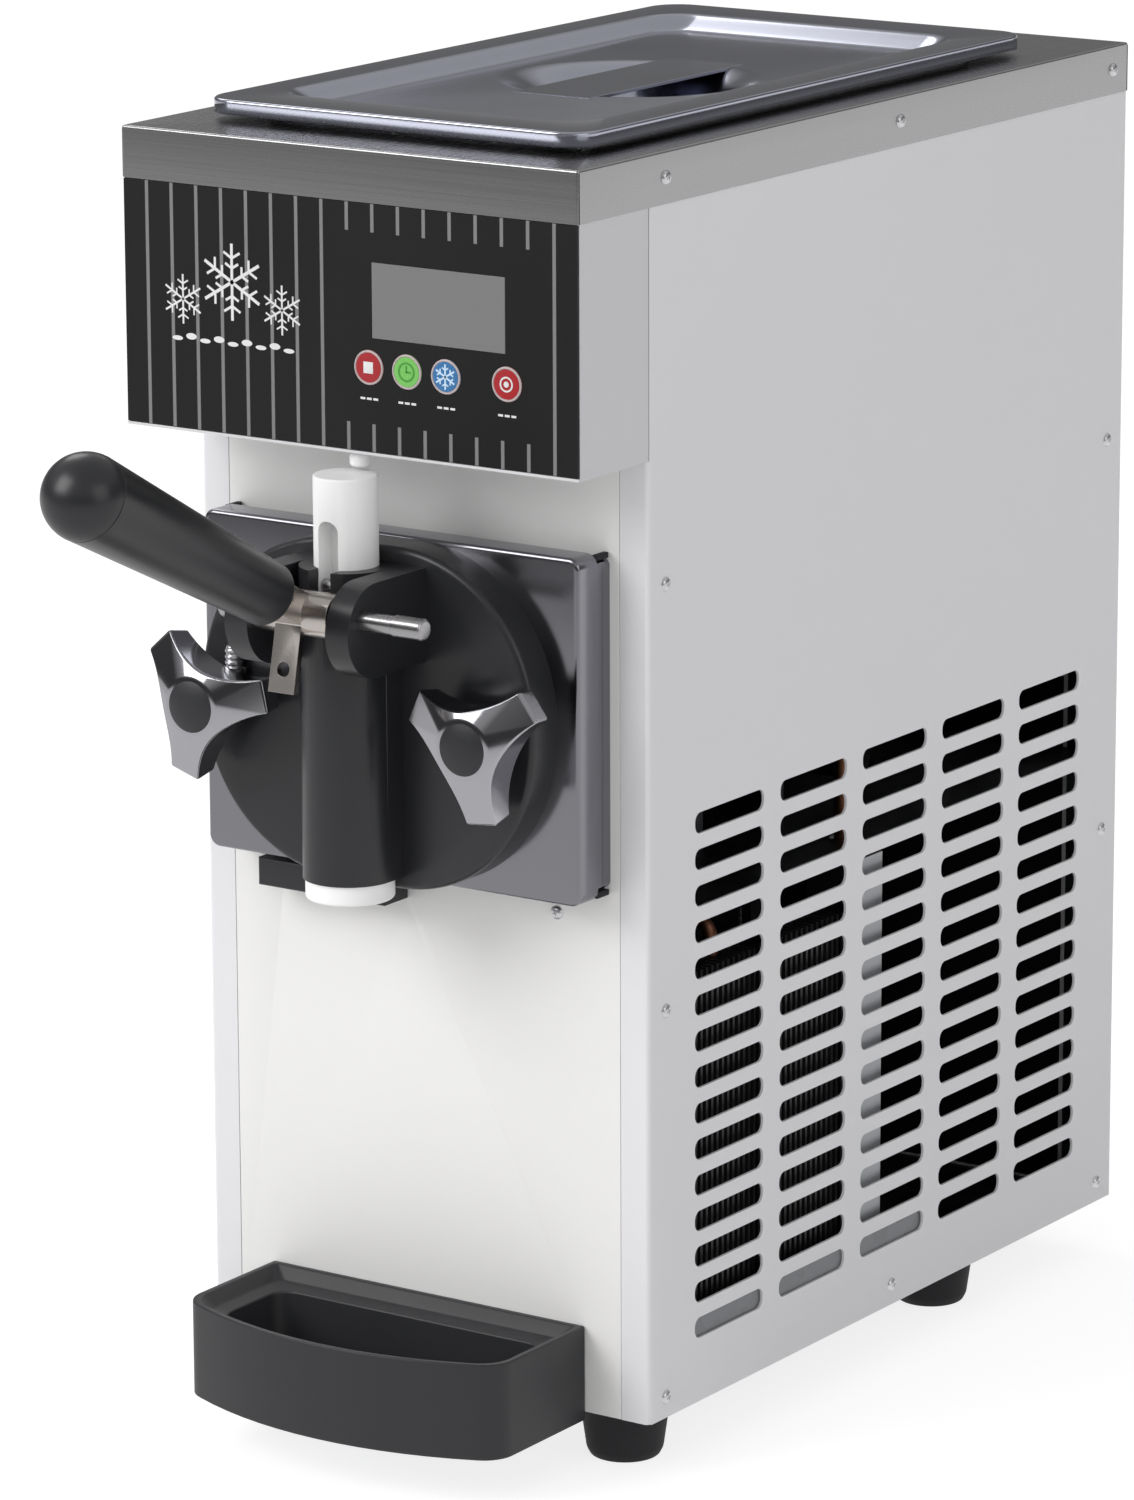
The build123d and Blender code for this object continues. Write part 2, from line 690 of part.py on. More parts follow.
def make_feed_tube():
    low = CYLINDER_Z + CYLINDER_R + 6
    tube = rod_z(FEED_R, low, FEED_TOP, 0, FEED_Y)
    tube += rod_z(FEED_R + 3, HOPPER_FLOOR, HOPPER_FLOOR + 2, 0, FEED_Y)
    tube -= rod_z(FEED_R - FEED_WALL, low - 1, FEED_TOP + 1, 0, FEED_Y)
    return tube - rod_y(FEED_R / 3, FEED_Y - 2 * FEED_R, FEED_Y, 0, HOPPER_FLOOR + 10)


def make_hopper_gasket():
    top = rim_top - SHEET - GASKET_SEAT_GAP
    width = 2 * (HOPPER_HALF_WIDTH + HOPPER_FLANGE)
    length = hopper_length + 2 * HOPPER_FLANGE
    corner = HOPPER_CORNER + HOPPER_FLANGE
    outside = rounded(width, length, corner, 0, lid_middle)
    inside = rounded(width - 2 * GASKET_WIDTH, length - 2 * GASKET_WIDTH, corner - GASKET_WIDTH, 0, lid_middle)
    return wall_z(outside, flange_top, top) - wall_z(inside, flange_top - 1, top + 1)


def lid_recess(grow, lift):
    """The lid's sunken floor with sloping walls, grown by a wall thickness and lowered with it."""
    width = LID_WIDTH - 2 * LID_RIM_SIDE
    length = LID_LENGTH - 2 * LID_RIM_END
    top = rounded(width + 2 * grow, length + 2 * grow, LID_RECESS_CORNER + grow, 0, lid_middle)
    floor = rounded(width + 2 * grow - 2 * LID_SLOPE, length + 2 * grow - 2 * LID_SLOPE,
                    LID_RECESS_CORNER + grow - LID_SLOPE, 0, lid_middle)
    return loft([Plane.XY.offset(recess_floor - lift) * floor, Plane.XY.offset(rim_top - lift) * top], ruled=True)


def lid_cup(grow, lift):
    top = Pos(0, cup_y) * Ellipse(CUP_HALF_X + grow, CUP_HALF_Y + grow)
    low = Pos(0, cup_y) * Ellipse(CUP_HALF_X + grow - CUP_DRAFT, CUP_HALF_Y + grow - CUP_DRAFT)
    level = recess_floor - CUP_DEPTH - lift
    return loft([Plane.XY.offset(level) * low, Plane.XY.offset(level + CUP_DEPTH) * top], ruled=True)


def make_hopper_lid():
    outline = rounded(LID_WIDTH, LID_LENGTH, LID_CORNER, 0, lid_middle)
    lid = wall_z(outline, rim_bottom, rim_top)
    lid = fillet(lid.faces().sort_by(Axis.Z)[-1].edges(), SHEET)
    inside = rounded(LID_WIDTH - 2 * SHEET, LID_LENGTH - 2 * SHEET, LID_CORNER - SHEET, 0, lid_middle)
    lid -= wall_z(inside, rim_bottom - 1, rim_top - SHEET)
    lid += lid_recess(SHEET, SHEET)
    lid -= lid_recess(0, 0)
    lid += lid_cup(SHEET, SHEET)
    return lid - lid_cup(0, 0) + lid_bridge()


def lid_bridge():
    """Strip across the finger cup, welded at both ends."""
    length = 2 * (CUP_HALF_Y + BRIDGE_LAP)
    strip = wall_z(rounded(BRIDGE_WIDTH, length, BRIDGE_LAP / 2, 0, cup_y), recess_floor, recess_floor + BRIDGE_SHEET)
    return fillet(strip.faces().sort_by(Axis.Z)[-1].edges(), BRIDGE_SHEET / 2)


# Controls

def button_holes():
    radius = BUTTON_R + BUTTON_GAP
    return [rod_y(radius, -1, OVERLAY + SHEET + 1, x, BUTTON_Z) for x in BUTTON_X.values()]


def make_control_panel():
    edge = panel_out - SEAM
    bottom = HEAD_BOTTOM + HEAD_LIP + SEAM
    panel = block(-edge, edge, 0, OVERLAY, bottom, skirt_bottom - SEAM)
    panel -= block(WINDOW_LEFT, WINDOW_RIGHT, -1, OVERLAY + 1, WINDOW_BOTTOM, WINDOW_TOP)
    return panel - button_holes()


def make_display_window():
    return block(WINDOW_LEFT + WINDOW_GAP, WINDOW_RIGHT - WINDOW_GAP, WINDOW_GAP, OVERLAY,
                 WINDOW_BOTTOM + WINDOW_GAP, WINDOW_TOP - WINDOW_GAP)


def make_button(x):
    wall_back = OVERLAY + SHEET
    cap = rod_y(BUTTON_R, -BUTTON_PROUD, wall_back + BUTTON_STOP_GAP, x, BUTTON_Z)
    cap = fillet(cap.edges().sort_by(Axis.Y)[0], BUTTON_PROUD)
    flange_y = wall_back + BUTTON_STOP_GAP
    return cap + rod_y(BUTTON_FLANGE_R, flange_y, flange_y + BUTTON_FLANGE, x, BUTTON_Z)


def make_control_board():
    """Circuit board on four posts, with the display block and one switch behind each button."""
    wall_back = OVERLAY + SHEET
    board = block(BOARD_LEFT, BOARD_RIGHT, BOARD_Y, BOARD_Y + BOARD, BOARD_BOTTOM, BOARD_TOP)
    board += block(WINDOW_LEFT + WINDOW_LEDGE + 1, WINDOW_RIGHT - WINDOW_LEDGE - 1, wall_back, BOARD_Y,
                   WINDOW_BOTTOM + WINDOW_LEDGE + 1, WINDOW_TOP - WINDOW_LEDGE - 1)
    switch_face = wall_back + BUTTON_STOP_GAP + BUTTON_FLANGE + BUTTON_TRAVEL + 0.2
    for x in BUTTON_X.values():
        board += block(x - 3, x + 3, switch_face + 2, BOARD_Y, BUTTON_Z - 3, BUTTON_Z + 3)
        board += rod_y(1.7, switch_face, switch_face + 3, x, BUTTON_Z)
    for x in (BOARD_RIGHT - 5, WINDOW_RIGHT + 4):
        board += rod_y(3, wall_back, BOARD_Y, x, BOARD_TOP - 5)
    return [board, start_switch()]


def start_switch():
    wall_back = OVERLAY + SHEET
    low = plunger_bottom + PLUNGER_LENGTH + PLUNGER_TRAVEL + 0.6
    body = block(-SWITCH_HALF_WIDTH, SWITCH_HALF_WIDTH, wall_back, wall_back + SWITCH_DEPTH, low, low + SWITCH_HEIGHT)
    ears = both_sides(rod_y(3, wall_back, wall_back + 3, SWITCH_HALF_WIDTH, low + SWITCH_HEIGHT / 2))
    return body + ears


def make_start_plunger():
    collar_z = HEAD_BOTTOM + SHEET + BUTTON_STOP_GAP
    rod = rod_z(PLUNGER_R, plunger_bottom, plunger_bottom + PLUNGER_LENGTH, 0, PLUNGER_Y)
    rod = fillet(rod.edges().sort_by(Axis.Z)[0], 1)
    return rod + rod_z(PLUNGER_COLLAR_R, collar_z, collar_z + PLUNGER_COLLAR, 0, PLUNGER_Y)


# Freezing cylinder and drive

def make_freezing_cylinder():
    tube = ring_y(CYLINDER_R, shell_r, PLATE_FRONT, CYLINDER_END, 0, CYLINDER_Z)
    end = rod_y(CYLINDER_FLANGE_R, CYLINDER_END, flange_back, 0, CYLINDER_Z)
    end -= rod_y(SHAFT_R + SHAFT_GAP, CYLINDER_END - 1, flange_back + 1, 0, CYLINDER_Z)
    return tube + end - spigot_hole()


def make_evaporator_jacket():
    return ring_y(shell_r + LAYER_GAP, jacket_r, JACKET_FRONT, FOAM_BACK - 5, 0, CYLINDER_Z) - spigot_hole()


def make_insulation_jacket():
    return ring_y(jacket_r + LAYER_GAP, foam_r, post_face, FOAM_BACK, 0, CYLINDER_Z) - spigot_hole()


def make_beater():
    nose_tip = PLATE_FRONT - BEATER_NOSE_DEPTH
    beater = rod_y(BEATER_NOSE_R, nose_tip, BEATER_FRONT, 0, CYLINDER_Z)
    beater += rod_y(SHAFT_R, BEATER_FRONT, gearbox_split - 2, 0, CYLINDER_Z)
    reach = CYLINDER_R - BLADE_TIP_GAP - BLADE_DEPTH
    for y in BEATER_ARMS_Y:
        beater += block(-reach, reach, y, y + BEATER_ARM, CYLINDER_Z - BLADE_WIDTH, CYLINDER_Z + BLADE_WIDTH)
    return beater


def make_scraper_blades():
    reach = CYLINDER_R - BLADE_TIP_GAP
    blade = block(reach - BLADE_DEPTH, reach, BLADE_FRONT, CYLINDER_END - BLADE_END_GAP,
                  CYLINDER_Z - BLADE_WIDTH / 2, CYLINDER_Z + BLADE_WIDTH / 2)
    blade &= rod_y(reach, BLADE_FRONT - 1, CYLINDER_END, 0, CYLINDER_Z)
    return both_sides(blade)


def make_rear_seal():
    return ring_y(SHAFT_R + SHAFT_GAP, SEAL_R, flange_back, flange_back + SEAL_LENGTH, 0, CYLINDER_Z)


def make_gearbox():
    profile = rounded(2 * GEARBOX_HALF, 2 * GEARBOX_HALF, GEARBOX_CORNER, 0, CYLINDER_Z)
    housing = wall_y(profile, GEARBOX_FRONT, gearbox_back)
    housing += rod_y(GEARBOX_COLLAR_R, flange_back, GEARBOX_FRONT, 0, CYLINDER_Z)
    housing -= rod_y(SEAL_R + LAYER_GAP, flange_back - 1, flange_back + SEAL_LENGTH + SEAM, 0, CYLINDER_Z)
    housing -= rod_y(SHAFT_R + SHAFT_GAP, flange_back - 1, gearbox_split - 1, 0, CYLINDER_Z)
    return housing - rod_y(PULLEY_SHAFT_R + SHAFT_GAP, gearbox_split + 1, gearbox_back + 1, 0, CYLINDER_Z)


def make_pulley(radius, z, housing_back):
    """Grooved pulley with the shaft that runs into its housing."""
    half = PULLEY_WIDTH / 2
    groove = BELT_WIDTH / 2 + BELT_GAP
    pulley = rod_y(radius, BELT_Y - half, BELT_Y + half, 0, z)
    pulley -= ring_y(radius - PULLEY_RIM, radius + 1, BELT_Y - groove, BELT_Y + groove, 0, z)
    return pulley + rod_y(PULLEY_SHAFT_R, housing_back - PULLEY_SHAFT_IN, BELT_Y + half + 4, 0, z)


def belt_outline(grow):
    upper = Pos(0, CYLINDER_Z) * Circle(GEARBOX_PULLEY_R - PULLEY_RIM + grow)
    lower = Pos(0, MOTOR_Z) * Circle(MOTOR_PULLEY_R - PULLEY_RIM + grow)
    return make_hull(upper.edges() + lower.edges())


def make_drive_belt():
    y0 = BELT_Y - BELT_WIDTH / 2
    y1 = BELT_Y + BELT_WIDTH / 2
    return wall_y(belt_outline(BELT_GAP + BELT_THICKNESS), y0, y1) - wall_y(belt_outline(BELT_GAP), y0 - 1, y1 + 1)


def make_motor():
    body = rod_y(MOTOR_R, MOTOR_FRONT + MOTOR_BELL, motor_back - MOTOR_BELL, 0, MOTOR_Z)
    bells = rod_y(MOTOR_R - 4, MOTOR_FRONT, motor_back, 0, MOTOR_Z)
    bells = fillet(bells.edges().group_by(Axis.Y)[0] + bells.edges().group_by(Axis.Y)[-1], 6)
    shaft_bore = rod_y(PULLEY_SHAFT_R + SHAFT_GAP, motor_back - PULLEY_SHAFT_IN - 2, motor_back + 1, 0, MOTOR_Z)
    return body + bells - shaft_bore


# Refrigeration

def compressor_corners():
    dx = COMPRESSOR_PLATE_HALF_X - MOUNT_INSET
    dy = COMPRESSOR_PLATE_HALF_Y - MOUNT_INSET
    return [(COMPRESSOR_X + sx * dx, COMPRESSOR_Y + sy * dy) for sx in (-1, 1) for sy in (-1, 1)]


def make_compressor():
    low = FRAME_SHEET + MOUNT_HEIGHT
    shell = rod_z(COMPRESSOR_R, low + COMPRESSOR_PLATE, COMPRESSOR_TOP, COMPRESSOR_X, COMPRESSOR_Y)
    shell = fillet(shell.edges().sort_by(Axis.Z)[-1], COMPRESSOR_DOME)
    outline = rounded(2 * COMPRESSOR_PLATE_HALF_X, 2 * COMPRESSOR_PLATE_HALF_Y, MOUNT_INSET, COMPRESSOR_X, COMPRESSOR_Y)
    legs = [rod_z(MOUNT_R, FRAME_SHEET, low, x, y) for x, y in compressor_corners()]
    return shell + wall_z(outline, low, low + COMPRESSOR_PLATE) + legs


def make_condenser():
    """Finned block between two end plates whose flanges face the side vents."""
    core = block(CONDENSER_INNER_X, condenser_outer_x, CONDENSER_FRONT, CONDENSER_BACK, CONDENSER_BOTTOM, CONDENSER_TOP)
    count = int((CONDENSER_BACK - CONDENSER_FRONT) / FIN_PITCH)
    grooves = [
        block(condenser_outer_x - FIN_GROOVE_DEPTH, condenser_outer_x + 1, CONDENSER_FRONT + FIN_PITCH * step + 1,
              CONDENSER_FRONT + FIN_PITCH * step + 1 + FIN_GROOVE, CONDENSER_BOTTOM - 1, CONDENSER_TOP + 1)
        for step in range(count)
    ]
    core -= grooves
    edge = condenser_outer_x + SHEET
    for inner, outer, top in ((CONDENSER_FRONT, CONDENSER_FRONT - CONDENSER_FLANGE, CONDENSER_TOP),
                              (CONDENSER_BACK, CONDENSER_BACK + CONDENSER_REAR_FLANGE, CONDENSER_REAR_TOP)):
        step = SHEET if outer > inner else -SHEET
        core += block(CONDENSER_INNER_X, edge, min(inner, inner + step), max(inner, inner + step), FRAME_SHEET, top)
        core += block(condenser_outer_x, edge, min(inner, outer), max(inner, outer), FRAME_SHEET, top)
    return core


def make_fan_shroud():
    sheet = block(shroud_x, CONDENSER_INNER_X, CONDENSER_FRONT, CONDENSER_BACK, CONDENSER_BOTTOM, CONDENSER_TOP)
    ring = rod_x(fan_ring_r + FAN_RING_WALL, fan_ring_x, shroud_x, fan_y, FAN_Z)
    return sheet + ring - rod_x(fan_ring_r, fan_ring_x - 1, CONDENSER_INNER_X + 1, fan_y, FAN_Z)


def make_fan_blades():
    middle = shroud_x - FAN_RING_LENGTH / 2
    hub = rod_x(FAN_HUB_R, middle - FAN_WIDTH / 2, middle + FAN_WIDTH / 2, fan_y, FAN_Z)
    chord = FAN_WIDTH / sin(radians(FAN_PITCH))
    span = block(-1, 1, -chord / 2, chord / 2, FAN_HUB_R - 3, FAN_R + 2)
    span = Rot(0, 0, 90 - FAN_PITCH) * span
    fan = hub
    for step in range(FAN_BLADES):
        fan += Pos(middle, fan_y, FAN_Z) * Rot(360 / FAN_BLADES * step, 0, 0) * span
    fan &= rod_x(FAN_R, middle - FAN_WIDTH / 2, middle + FAN_WIDTH / 2, fan_y, FAN_Z)
    return fan - rod_x(FAN_SHAFT_R + FAN_SHAFT_GAP, middle - FAN_WIDTH, middle + FAN_WIDTH / 4, fan_y, FAN_Z)


def make_fan_motor():
    """Motor on a cross of flat bars whose legs stand on the shroud's ring."""
    middle = shroud_x - FAN_RING_LENGTH / 2
    face = fan_ring_x - 8
    motor = rod_x(FAN_MOTOR_R, face - FAN_MOTOR_LENGTH, face, fan_y, FAN_Z)
    motor = fillet(motor.edges().sort_by(Axis.X)[0], 4)
    motor += rod_x(FAN_SHAFT_R, face, middle + FAN_WIDTH / 4 - 1, fan_y, FAN_Z)
    outer = fan_ring_r + FAN_RING_WALL
    for turn in (45, 135):
        bar = block(face - 3, face, -outer, outer, -4, 4)
        legs = block(face - 3, fan_ring_x, fan_ring_r, outer, -4, 4)
        legs += block(face - 3, fan_ring_x, -outer, -fan_ring_r, -4, 4)
        motor += Pos(0, fan_y, FAN_Z) * Rot(turn, 0, 0) * (bar + legs)
    return motor


def filter_drier():
    drier = rod_z(DRIER_R, DRIER_BOTTOM, DRIER_TOP, DRIER_X, DRIER_Y)
    return fillet(drier.edges().group_by(Axis.Z)[0] + drier.edges().group_by(Axis.Z)[-1], DRIER_R * 0.6)


def pipe(points):
    """Round pipe along straight runs joined by equal bends."""
    path = FilletPolyline(*points, radius=PIPE_BEND)
    start = Plane(origin=path @ 0, z_dir=path % 0)
    return sweep(start * Circle(PIPE_R), path=path)


def make_refrigerant_pipes():
    pipe_x = (CONDENSER_INNER_X + condenser_outer_x) / 2
    top = COMPRESSOR_TOP
    outlet = (COMPRESSOR_X + 20, COMPRESSOR_Y - 12)
    inlet = (COMPRESSOR_X - 19, COMPRESSOR_Y + 20)
    end_plate = CONDENSER_BACK + SHEET
    discharge = pipe([(*outlet, top), (*outlet, cross_pipe_z), (pipe_x, outlet[1], cross_pipe_z),
                      (pipe_x, outlet[1], CONDENSER_TOP - FIN_GROOVE_DEPTH)])
    discharge -= block(CONDENSER_INNER_X, condenser_outer_x, CONDENSER_FRONT, CONDENSER_BACK,
                       CONDENSER_BOTTOM, CONDENSER_TOP)
    liquid = pipe([(pipe_x, end_plate, LIQUID_Z), (pipe_x, DRIER_Y, LIQUID_Z),
                   (DRIER_X, DRIER_Y, LIQUID_Z), (DRIER_X, DRIER_Y, DRIER_BOTTOM)])
    feed = pipe([(DRIER_X, DRIER_Y, DRIER_TOP), (DRIER_X, DRIER_Y, CYLINDER_Z), (-jacket_r, DRIER_Y, CYLINDER_Z)])
    suction = pipe([(jacket_r, DRIER_Y, CYLINDER_Z), (SUCTION_X, DRIER_Y, CYLINDER_Z), (SUCTION_X, DRIER_Y, cross_pipe_z),
                    (inlet[0], DRIER_Y, cross_pipe_z), (inlet[0], inlet[1], cross_pipe_z), (*inlet, top)])
    foam = rod_y(foam_r + LAYER_GAP, post_face, FOAM_BACK, 0, CYLINDER_Z)
    return [discharge, filter_drier() + liquid + (feed - foam), suction - foam]


def make_control_box():
    box = block(-panel_in, -panel_in + BOX_DEPTH, BOX_FRONT, BOX_FRONT + BOX_LENGTH, BOX_BOTTOM, BOX_BOTTOM + BOX_HEIGHT)
    return fillet(box.faces().sort_by(Axis.X)[-1].edges(), 3)


# Dispensing head

def make_cylinder_plate():
    plate = block(-PLATE_HALF_WIDTH, PLATE_HALF_WIDTH, PLATE_FRONT, body_front, PLATE_BOTTOM, PLATE_TOP)
    plate = fillet(plate.edges().filter_by(Axis.Y), PLATE_CORNER)
    plate = fillet(plate.faces().sort_by(Axis.Y)[0].edges(), SHEET)
    inside = rounded(2 * (PLATE_HALF_WIDTH - SHEET), PLATE_TOP - PLATE_BOTTOM - 2 * SHEET,
                     PLATE_CORNER - SHEET, 0, door_z)
    plate -= wall_y(inside, PLATE_FRONT + SHEET, body_front + 1)
    plate -= rod_y(shell_r + LAYER_GAP, PLATE_FRONT - 1, body_front, 0, CYLINDER_Z)
    for x in (-KNOB_X, KNOB_X):
        plate -= rod_y(STUD_R + STUD_GAP, PLATE_FRONT - 1, body_front, x, CYLINDER_Z)
    return plate


def make_dispense_door():
    """Moulded head: cover plate, valve barrel, and two arms that carry the lever's pin."""
    plate = wall_y(rounded(DOOR_WIDTH, DOOR_HEIGHT, DOOR_CORNER, 0, door_z), DOOR_FRONT, PLATE_FRONT)
    plate = fillet(plate.faces().sort_by(Axis.Y)[0].edges(), DOOR_EDGE)
    barrel = rod_z(BARREL_R, BARREL_BOTTOM, ARM_TOP, 0, VALVE_Y)
    web = block(-BARREL_R, BARREL_R, VALVE_Y, DOOR_FRONT + DOOR_EDGE, BARREL_BOTTOM, ARM_TOP)
    nose = ARM_HEIGHT / 2
    middle = ARM_TOP - nose
    side = Pos(ARM_NOSE + nose, middle) * Circle(nose)
    side += Pos((ARM_NOSE + nose + DOOR_FRONT + DOOR_EDGE) / 2, middle) * Rectangle(
        DOOR_FRONT + DOOR_EDGE - ARM_NOSE - nose, ARM_HEIGHT)
    door = plate + barrel + web
    for arm in both_sides(wall_x(side, ARM_INNER, arm_outer)):
        door += arm
    door -= rod_z(PISTON_R + PISTON_GAP, BARREL_BOTTOM - 1, PISTON_TOP, 0, VALVE_Y)
    door -= rod_z(NOZZLE_R + LAYER_GAP, BARREL_BOTTOM - NOZZLE_HEIGHT - 5, BARREL_BOTTOM, 0, VALVE_Y)
    door -= block(-PORT_HALF_WIDTH, PORT_HALF_WIDTH, VALVE_Y, PLATE_FRONT + 1, PORT_BOTTOM, PORT_BOTTOM + PORT_HEIGHT)
    door -= rod_y(BEATER_NOSE_R + SHAFT_GAP, PLATE_FRONT - BEATER_NOSE_DEPTH - 1, PLATE_FRONT + 1, 0, CYLINDER_Z)
    door -= ring_y(DOOR_GASKET_IN, DOOR_GASKET_OUT, PLATE_FRONT - DOOR_GASKET_DEPTH, PLATE_FRONT + 1, 0, CYLINDER_Z)
    door -= rod_x(PIVOT_R + PIVOT_GAP, -arm_outer - 1, arm_outer + 1, PIVOT_Y, PIVOT_Z)
    window = SLOT_WIDTH / 2 + LEVER_SIDE_GAP
    door -= block(-window, window, VALVE_Y - BARREL_R - 1, VALVE_Y - PISTON_R + SLOT_DEPTH, SLOT_BOTTOM, ARM_TOP + 1)
    for x in (-KNOB_X, KNOB_X):
        door -= rod_y(STUD_R + STUD_GAP, DOOR_FRONT - 1, PLATE_FRONT + 1, x, CYLINDER_Z)
    return door


def make_door_gasket():
    return ring_y(DOOR_GASKET_IN + LAYER_GAP, DOOR_GASKET_OUT - LAYER_GAP,
                  PLATE_FRONT - DOOR_GASKET_DEPTH + LAYER_GAP, PLATE_FRONT, 0, CYLINDER_Z)


def make_valve_piston():
    piston = rod_z(PISTON_R, PISTON_BOTTOM, PISTON_TOP, 0, VALVE_Y)
    piston = fillet(piston.edges().sort_by(Axis.Z)[-1], PISTON_EDGE)
    height = SLOT_TOP - SLOT_BOTTOM
    slot = rounded(SLOT_WIDTH, height, SLOT_WIDTH / 2 - 0.01, 0, SLOT_BOTTOM + height / 2)
    piston -= wall_y(slot, VALVE_Y - PISTON_R - 1, VALVE_Y - PISTON_R + SLOT_DEPTH)
    piston -= rod_x(LIFT_PIN_R, -LIFT_PIN_HALF, LIFT_PIN_HALF, lift_pin_y, lift_pin_z)
    for z in SEAL_RING_Z:
        groove = rod_z(PISTON_R + 1, z, z + SEAL_RING, 0, VALVE_Y)
        piston -= groove - rod_z(PISTON_R - SEAL_RING_DEPTH, z - 1, z + SEAL_RING + 1, 0, VALVE_Y)
    return piston


def make_piston_pin():
    return rod_x(LIFT_PIN_R, -LIFT_PIN_HALF, LIFT_PIN_HALF, lift_pin_y, lift_pin_z)


def make_piston_seals():
    rings = []
    for z in SEAL_RING_Z:
        ring = rod_z(PISTON_R + PISTON_GAP / 2, z, z + SEAL_RING, 0, VALVE_Y)
        rings.append(ring - rod_z(PISTON_R - SEAL_RING_DEPTH, z - 1, z + SEAL_RING + 1, 0, VALVE_Y))
    return rings


def make_outlet_nozzle():
    low = BARREL_BOTTOM - NOZZLE_HEIGHT
    nozzle = rod_z(NOZZLE_R, low, BARREL_BOTTOM, 0, VALVE_Y)
    nozzle = fillet(nozzle.edges().sort_by(Axis.Z)[0], 1.5)
    holes = [rod_z(NOZZLE_HOLE_R, low - 1, BARREL_BOTTOM + 1, 0, VALVE_Y)]
    for step in range(NOZZLE_LOBES):
        turn = 2 * 180 / NOZZLE_LOBES * step
        x = NOZZLE_HOLE_R * cos(radians(turn))
        y = VALVE_Y + NOZZLE_HOLE_R * sin(radians(turn))
        holes.append(rod_z(NOZZLE_LOBE_R, low - 1, BARREL_BOTTOM + 1, x, y))
    return nozzle - holes


# Lever

def lever_plane():
    """Plane at the pivot whose normal runs out along the grip."""
    return Plane(origin=(0, PIVOT_Y, PIVOT_Z), x_dir=(1, 0, 0), z_dir=(0, -tilt_cos, tilt_sin))


def along_grip(shape):
    return lever_plane().location * shape


def make_pivot_pin():
    pin = rod_x(PIVOT_R, -PIVOT_LEFT, PIVOT_RIGHT, PIVOT_Y, PIVOT_Z)
    pin += rod_x(PIVOT_KNURL_R, PIVOT_RIGHT - PIVOT_KNURL, PIVOT_RIGHT, PIVOT_Y, PIVOT_Z)
    pin = chamfer(pin.faces().sort_by(Axis.X)[-1].edges(), 0.8)
    return pin + rod_x(PIVOT_HEAD_R, -PIVOT_LEFT - 3, -arm_outer - 0.2, PIVOT_Y, PIVOT_Z)


def make_lever_arm():
    """Boss on the pin, neck and rod up to the grip, hanging tab, and the finger that lifts the piston."""
    half = ARM_INNER - LEVER_SIDE_GAP
    boss = rod_x(BOSS_R, -half, half, PIVOT_Y, PIVOT_Z)
    neck = along_grip(Pos(0, 0, GRIP_START / 2) * Box(NECK_WIDTH, NECK_WIDTH, GRIP_START))
    nut = along_grip(extrude(Plane.XY.offset(GRIP_START - NUT_LENGTH) * RegularPolygon(NUT_R, 6), NUT_LENGTH))
    rod = along_grip(Pos(0, 0, GRIP_START + ROD_LENGTH / 2) * Cylinder(ROD_R, ROD_LENGTH))
    tab = block(-TAB_WIDTH / 2, TAB_WIDTH / 2, -TAB_SHEET / 2, TAB_SHEET / 2, -TAB_LENGTH, 0)
    tab -= rod_y(TAB_HOLE_R, -TAB_SHEET, TAB_SHEET, 0, -TAB_LENGTH * 0.7)
    tab = Pos(0, PIVOT_Y - BOSS_R + TAB_SHEET, PIVOT_Z) * Rot(-TAB_TILT, 0, 0) * tab
    finger = block(-FINGER_WIDTH / 2, FINGER_WIDTH / 2, PIVOT_Y, lift_pin_y, PIVOT_Z - FINGER_R, PIVOT_Z + FINGER_R)
    finger += rod_x(FINGER_R, -FINGER_WIDTH / 2, FINGER_WIDTH / 2, lift_pin_y, PIVOT_Z)
    lever = boss + neck + nut + rod + tab + finger
    return lever - rod_x(PIVOT_R + PIVOT_GAP, -half - 1, half + 1, PIVOT_Y, PIVOT_Z)


def make_lever_grip():
    """Tapered grip with a ball end, bored for the lever's rod."""
    length = GRIP_END - GRIP_START
    taper = Pos(0, 0, GRIP_START + length / 2) * Cone(GRIP_START_R, GRIP_END_R, length)
    taper = fillet(taper.edges().sort_by(Axis.Z)[0], GRIP_EDGE)
    ball = Pos(0, 0, GRIP_END) * Sphere(GRIP_END_R)
    bore = Pos(0, 0, GRIP_START + (ROD_LENGTH + 1) / 2) * Cylinder(ROD_R, ROD_LENGTH + 1)
    return along_grip(taper + ball - bore)


# Star knobs

def star(turn):
    """Three blunt arms with hollow sides between them."""
    half_angle = degrees(asin(KNOB_TIP_HALF / KNOB_REACH))

    def polar(radius, angle):
        return (radius * cos(radians(angle)), radius * sin(radians(angle)))

    edges = []
    for step in range(3):
        middle = turn + 120 * step
        first = polar(KNOB_REACH, middle - half_angle)
        second = polar(KNOB_REACH, middle + half_angle)
        onward = polar(KNOB_REACH, middle + 120 - half_angle)
        edges.append(Line(first, second))
        edges.append(ThreePointArc(second, polar(KNOB_WAIST, middle + 60), onward))
    return make_face(edges)


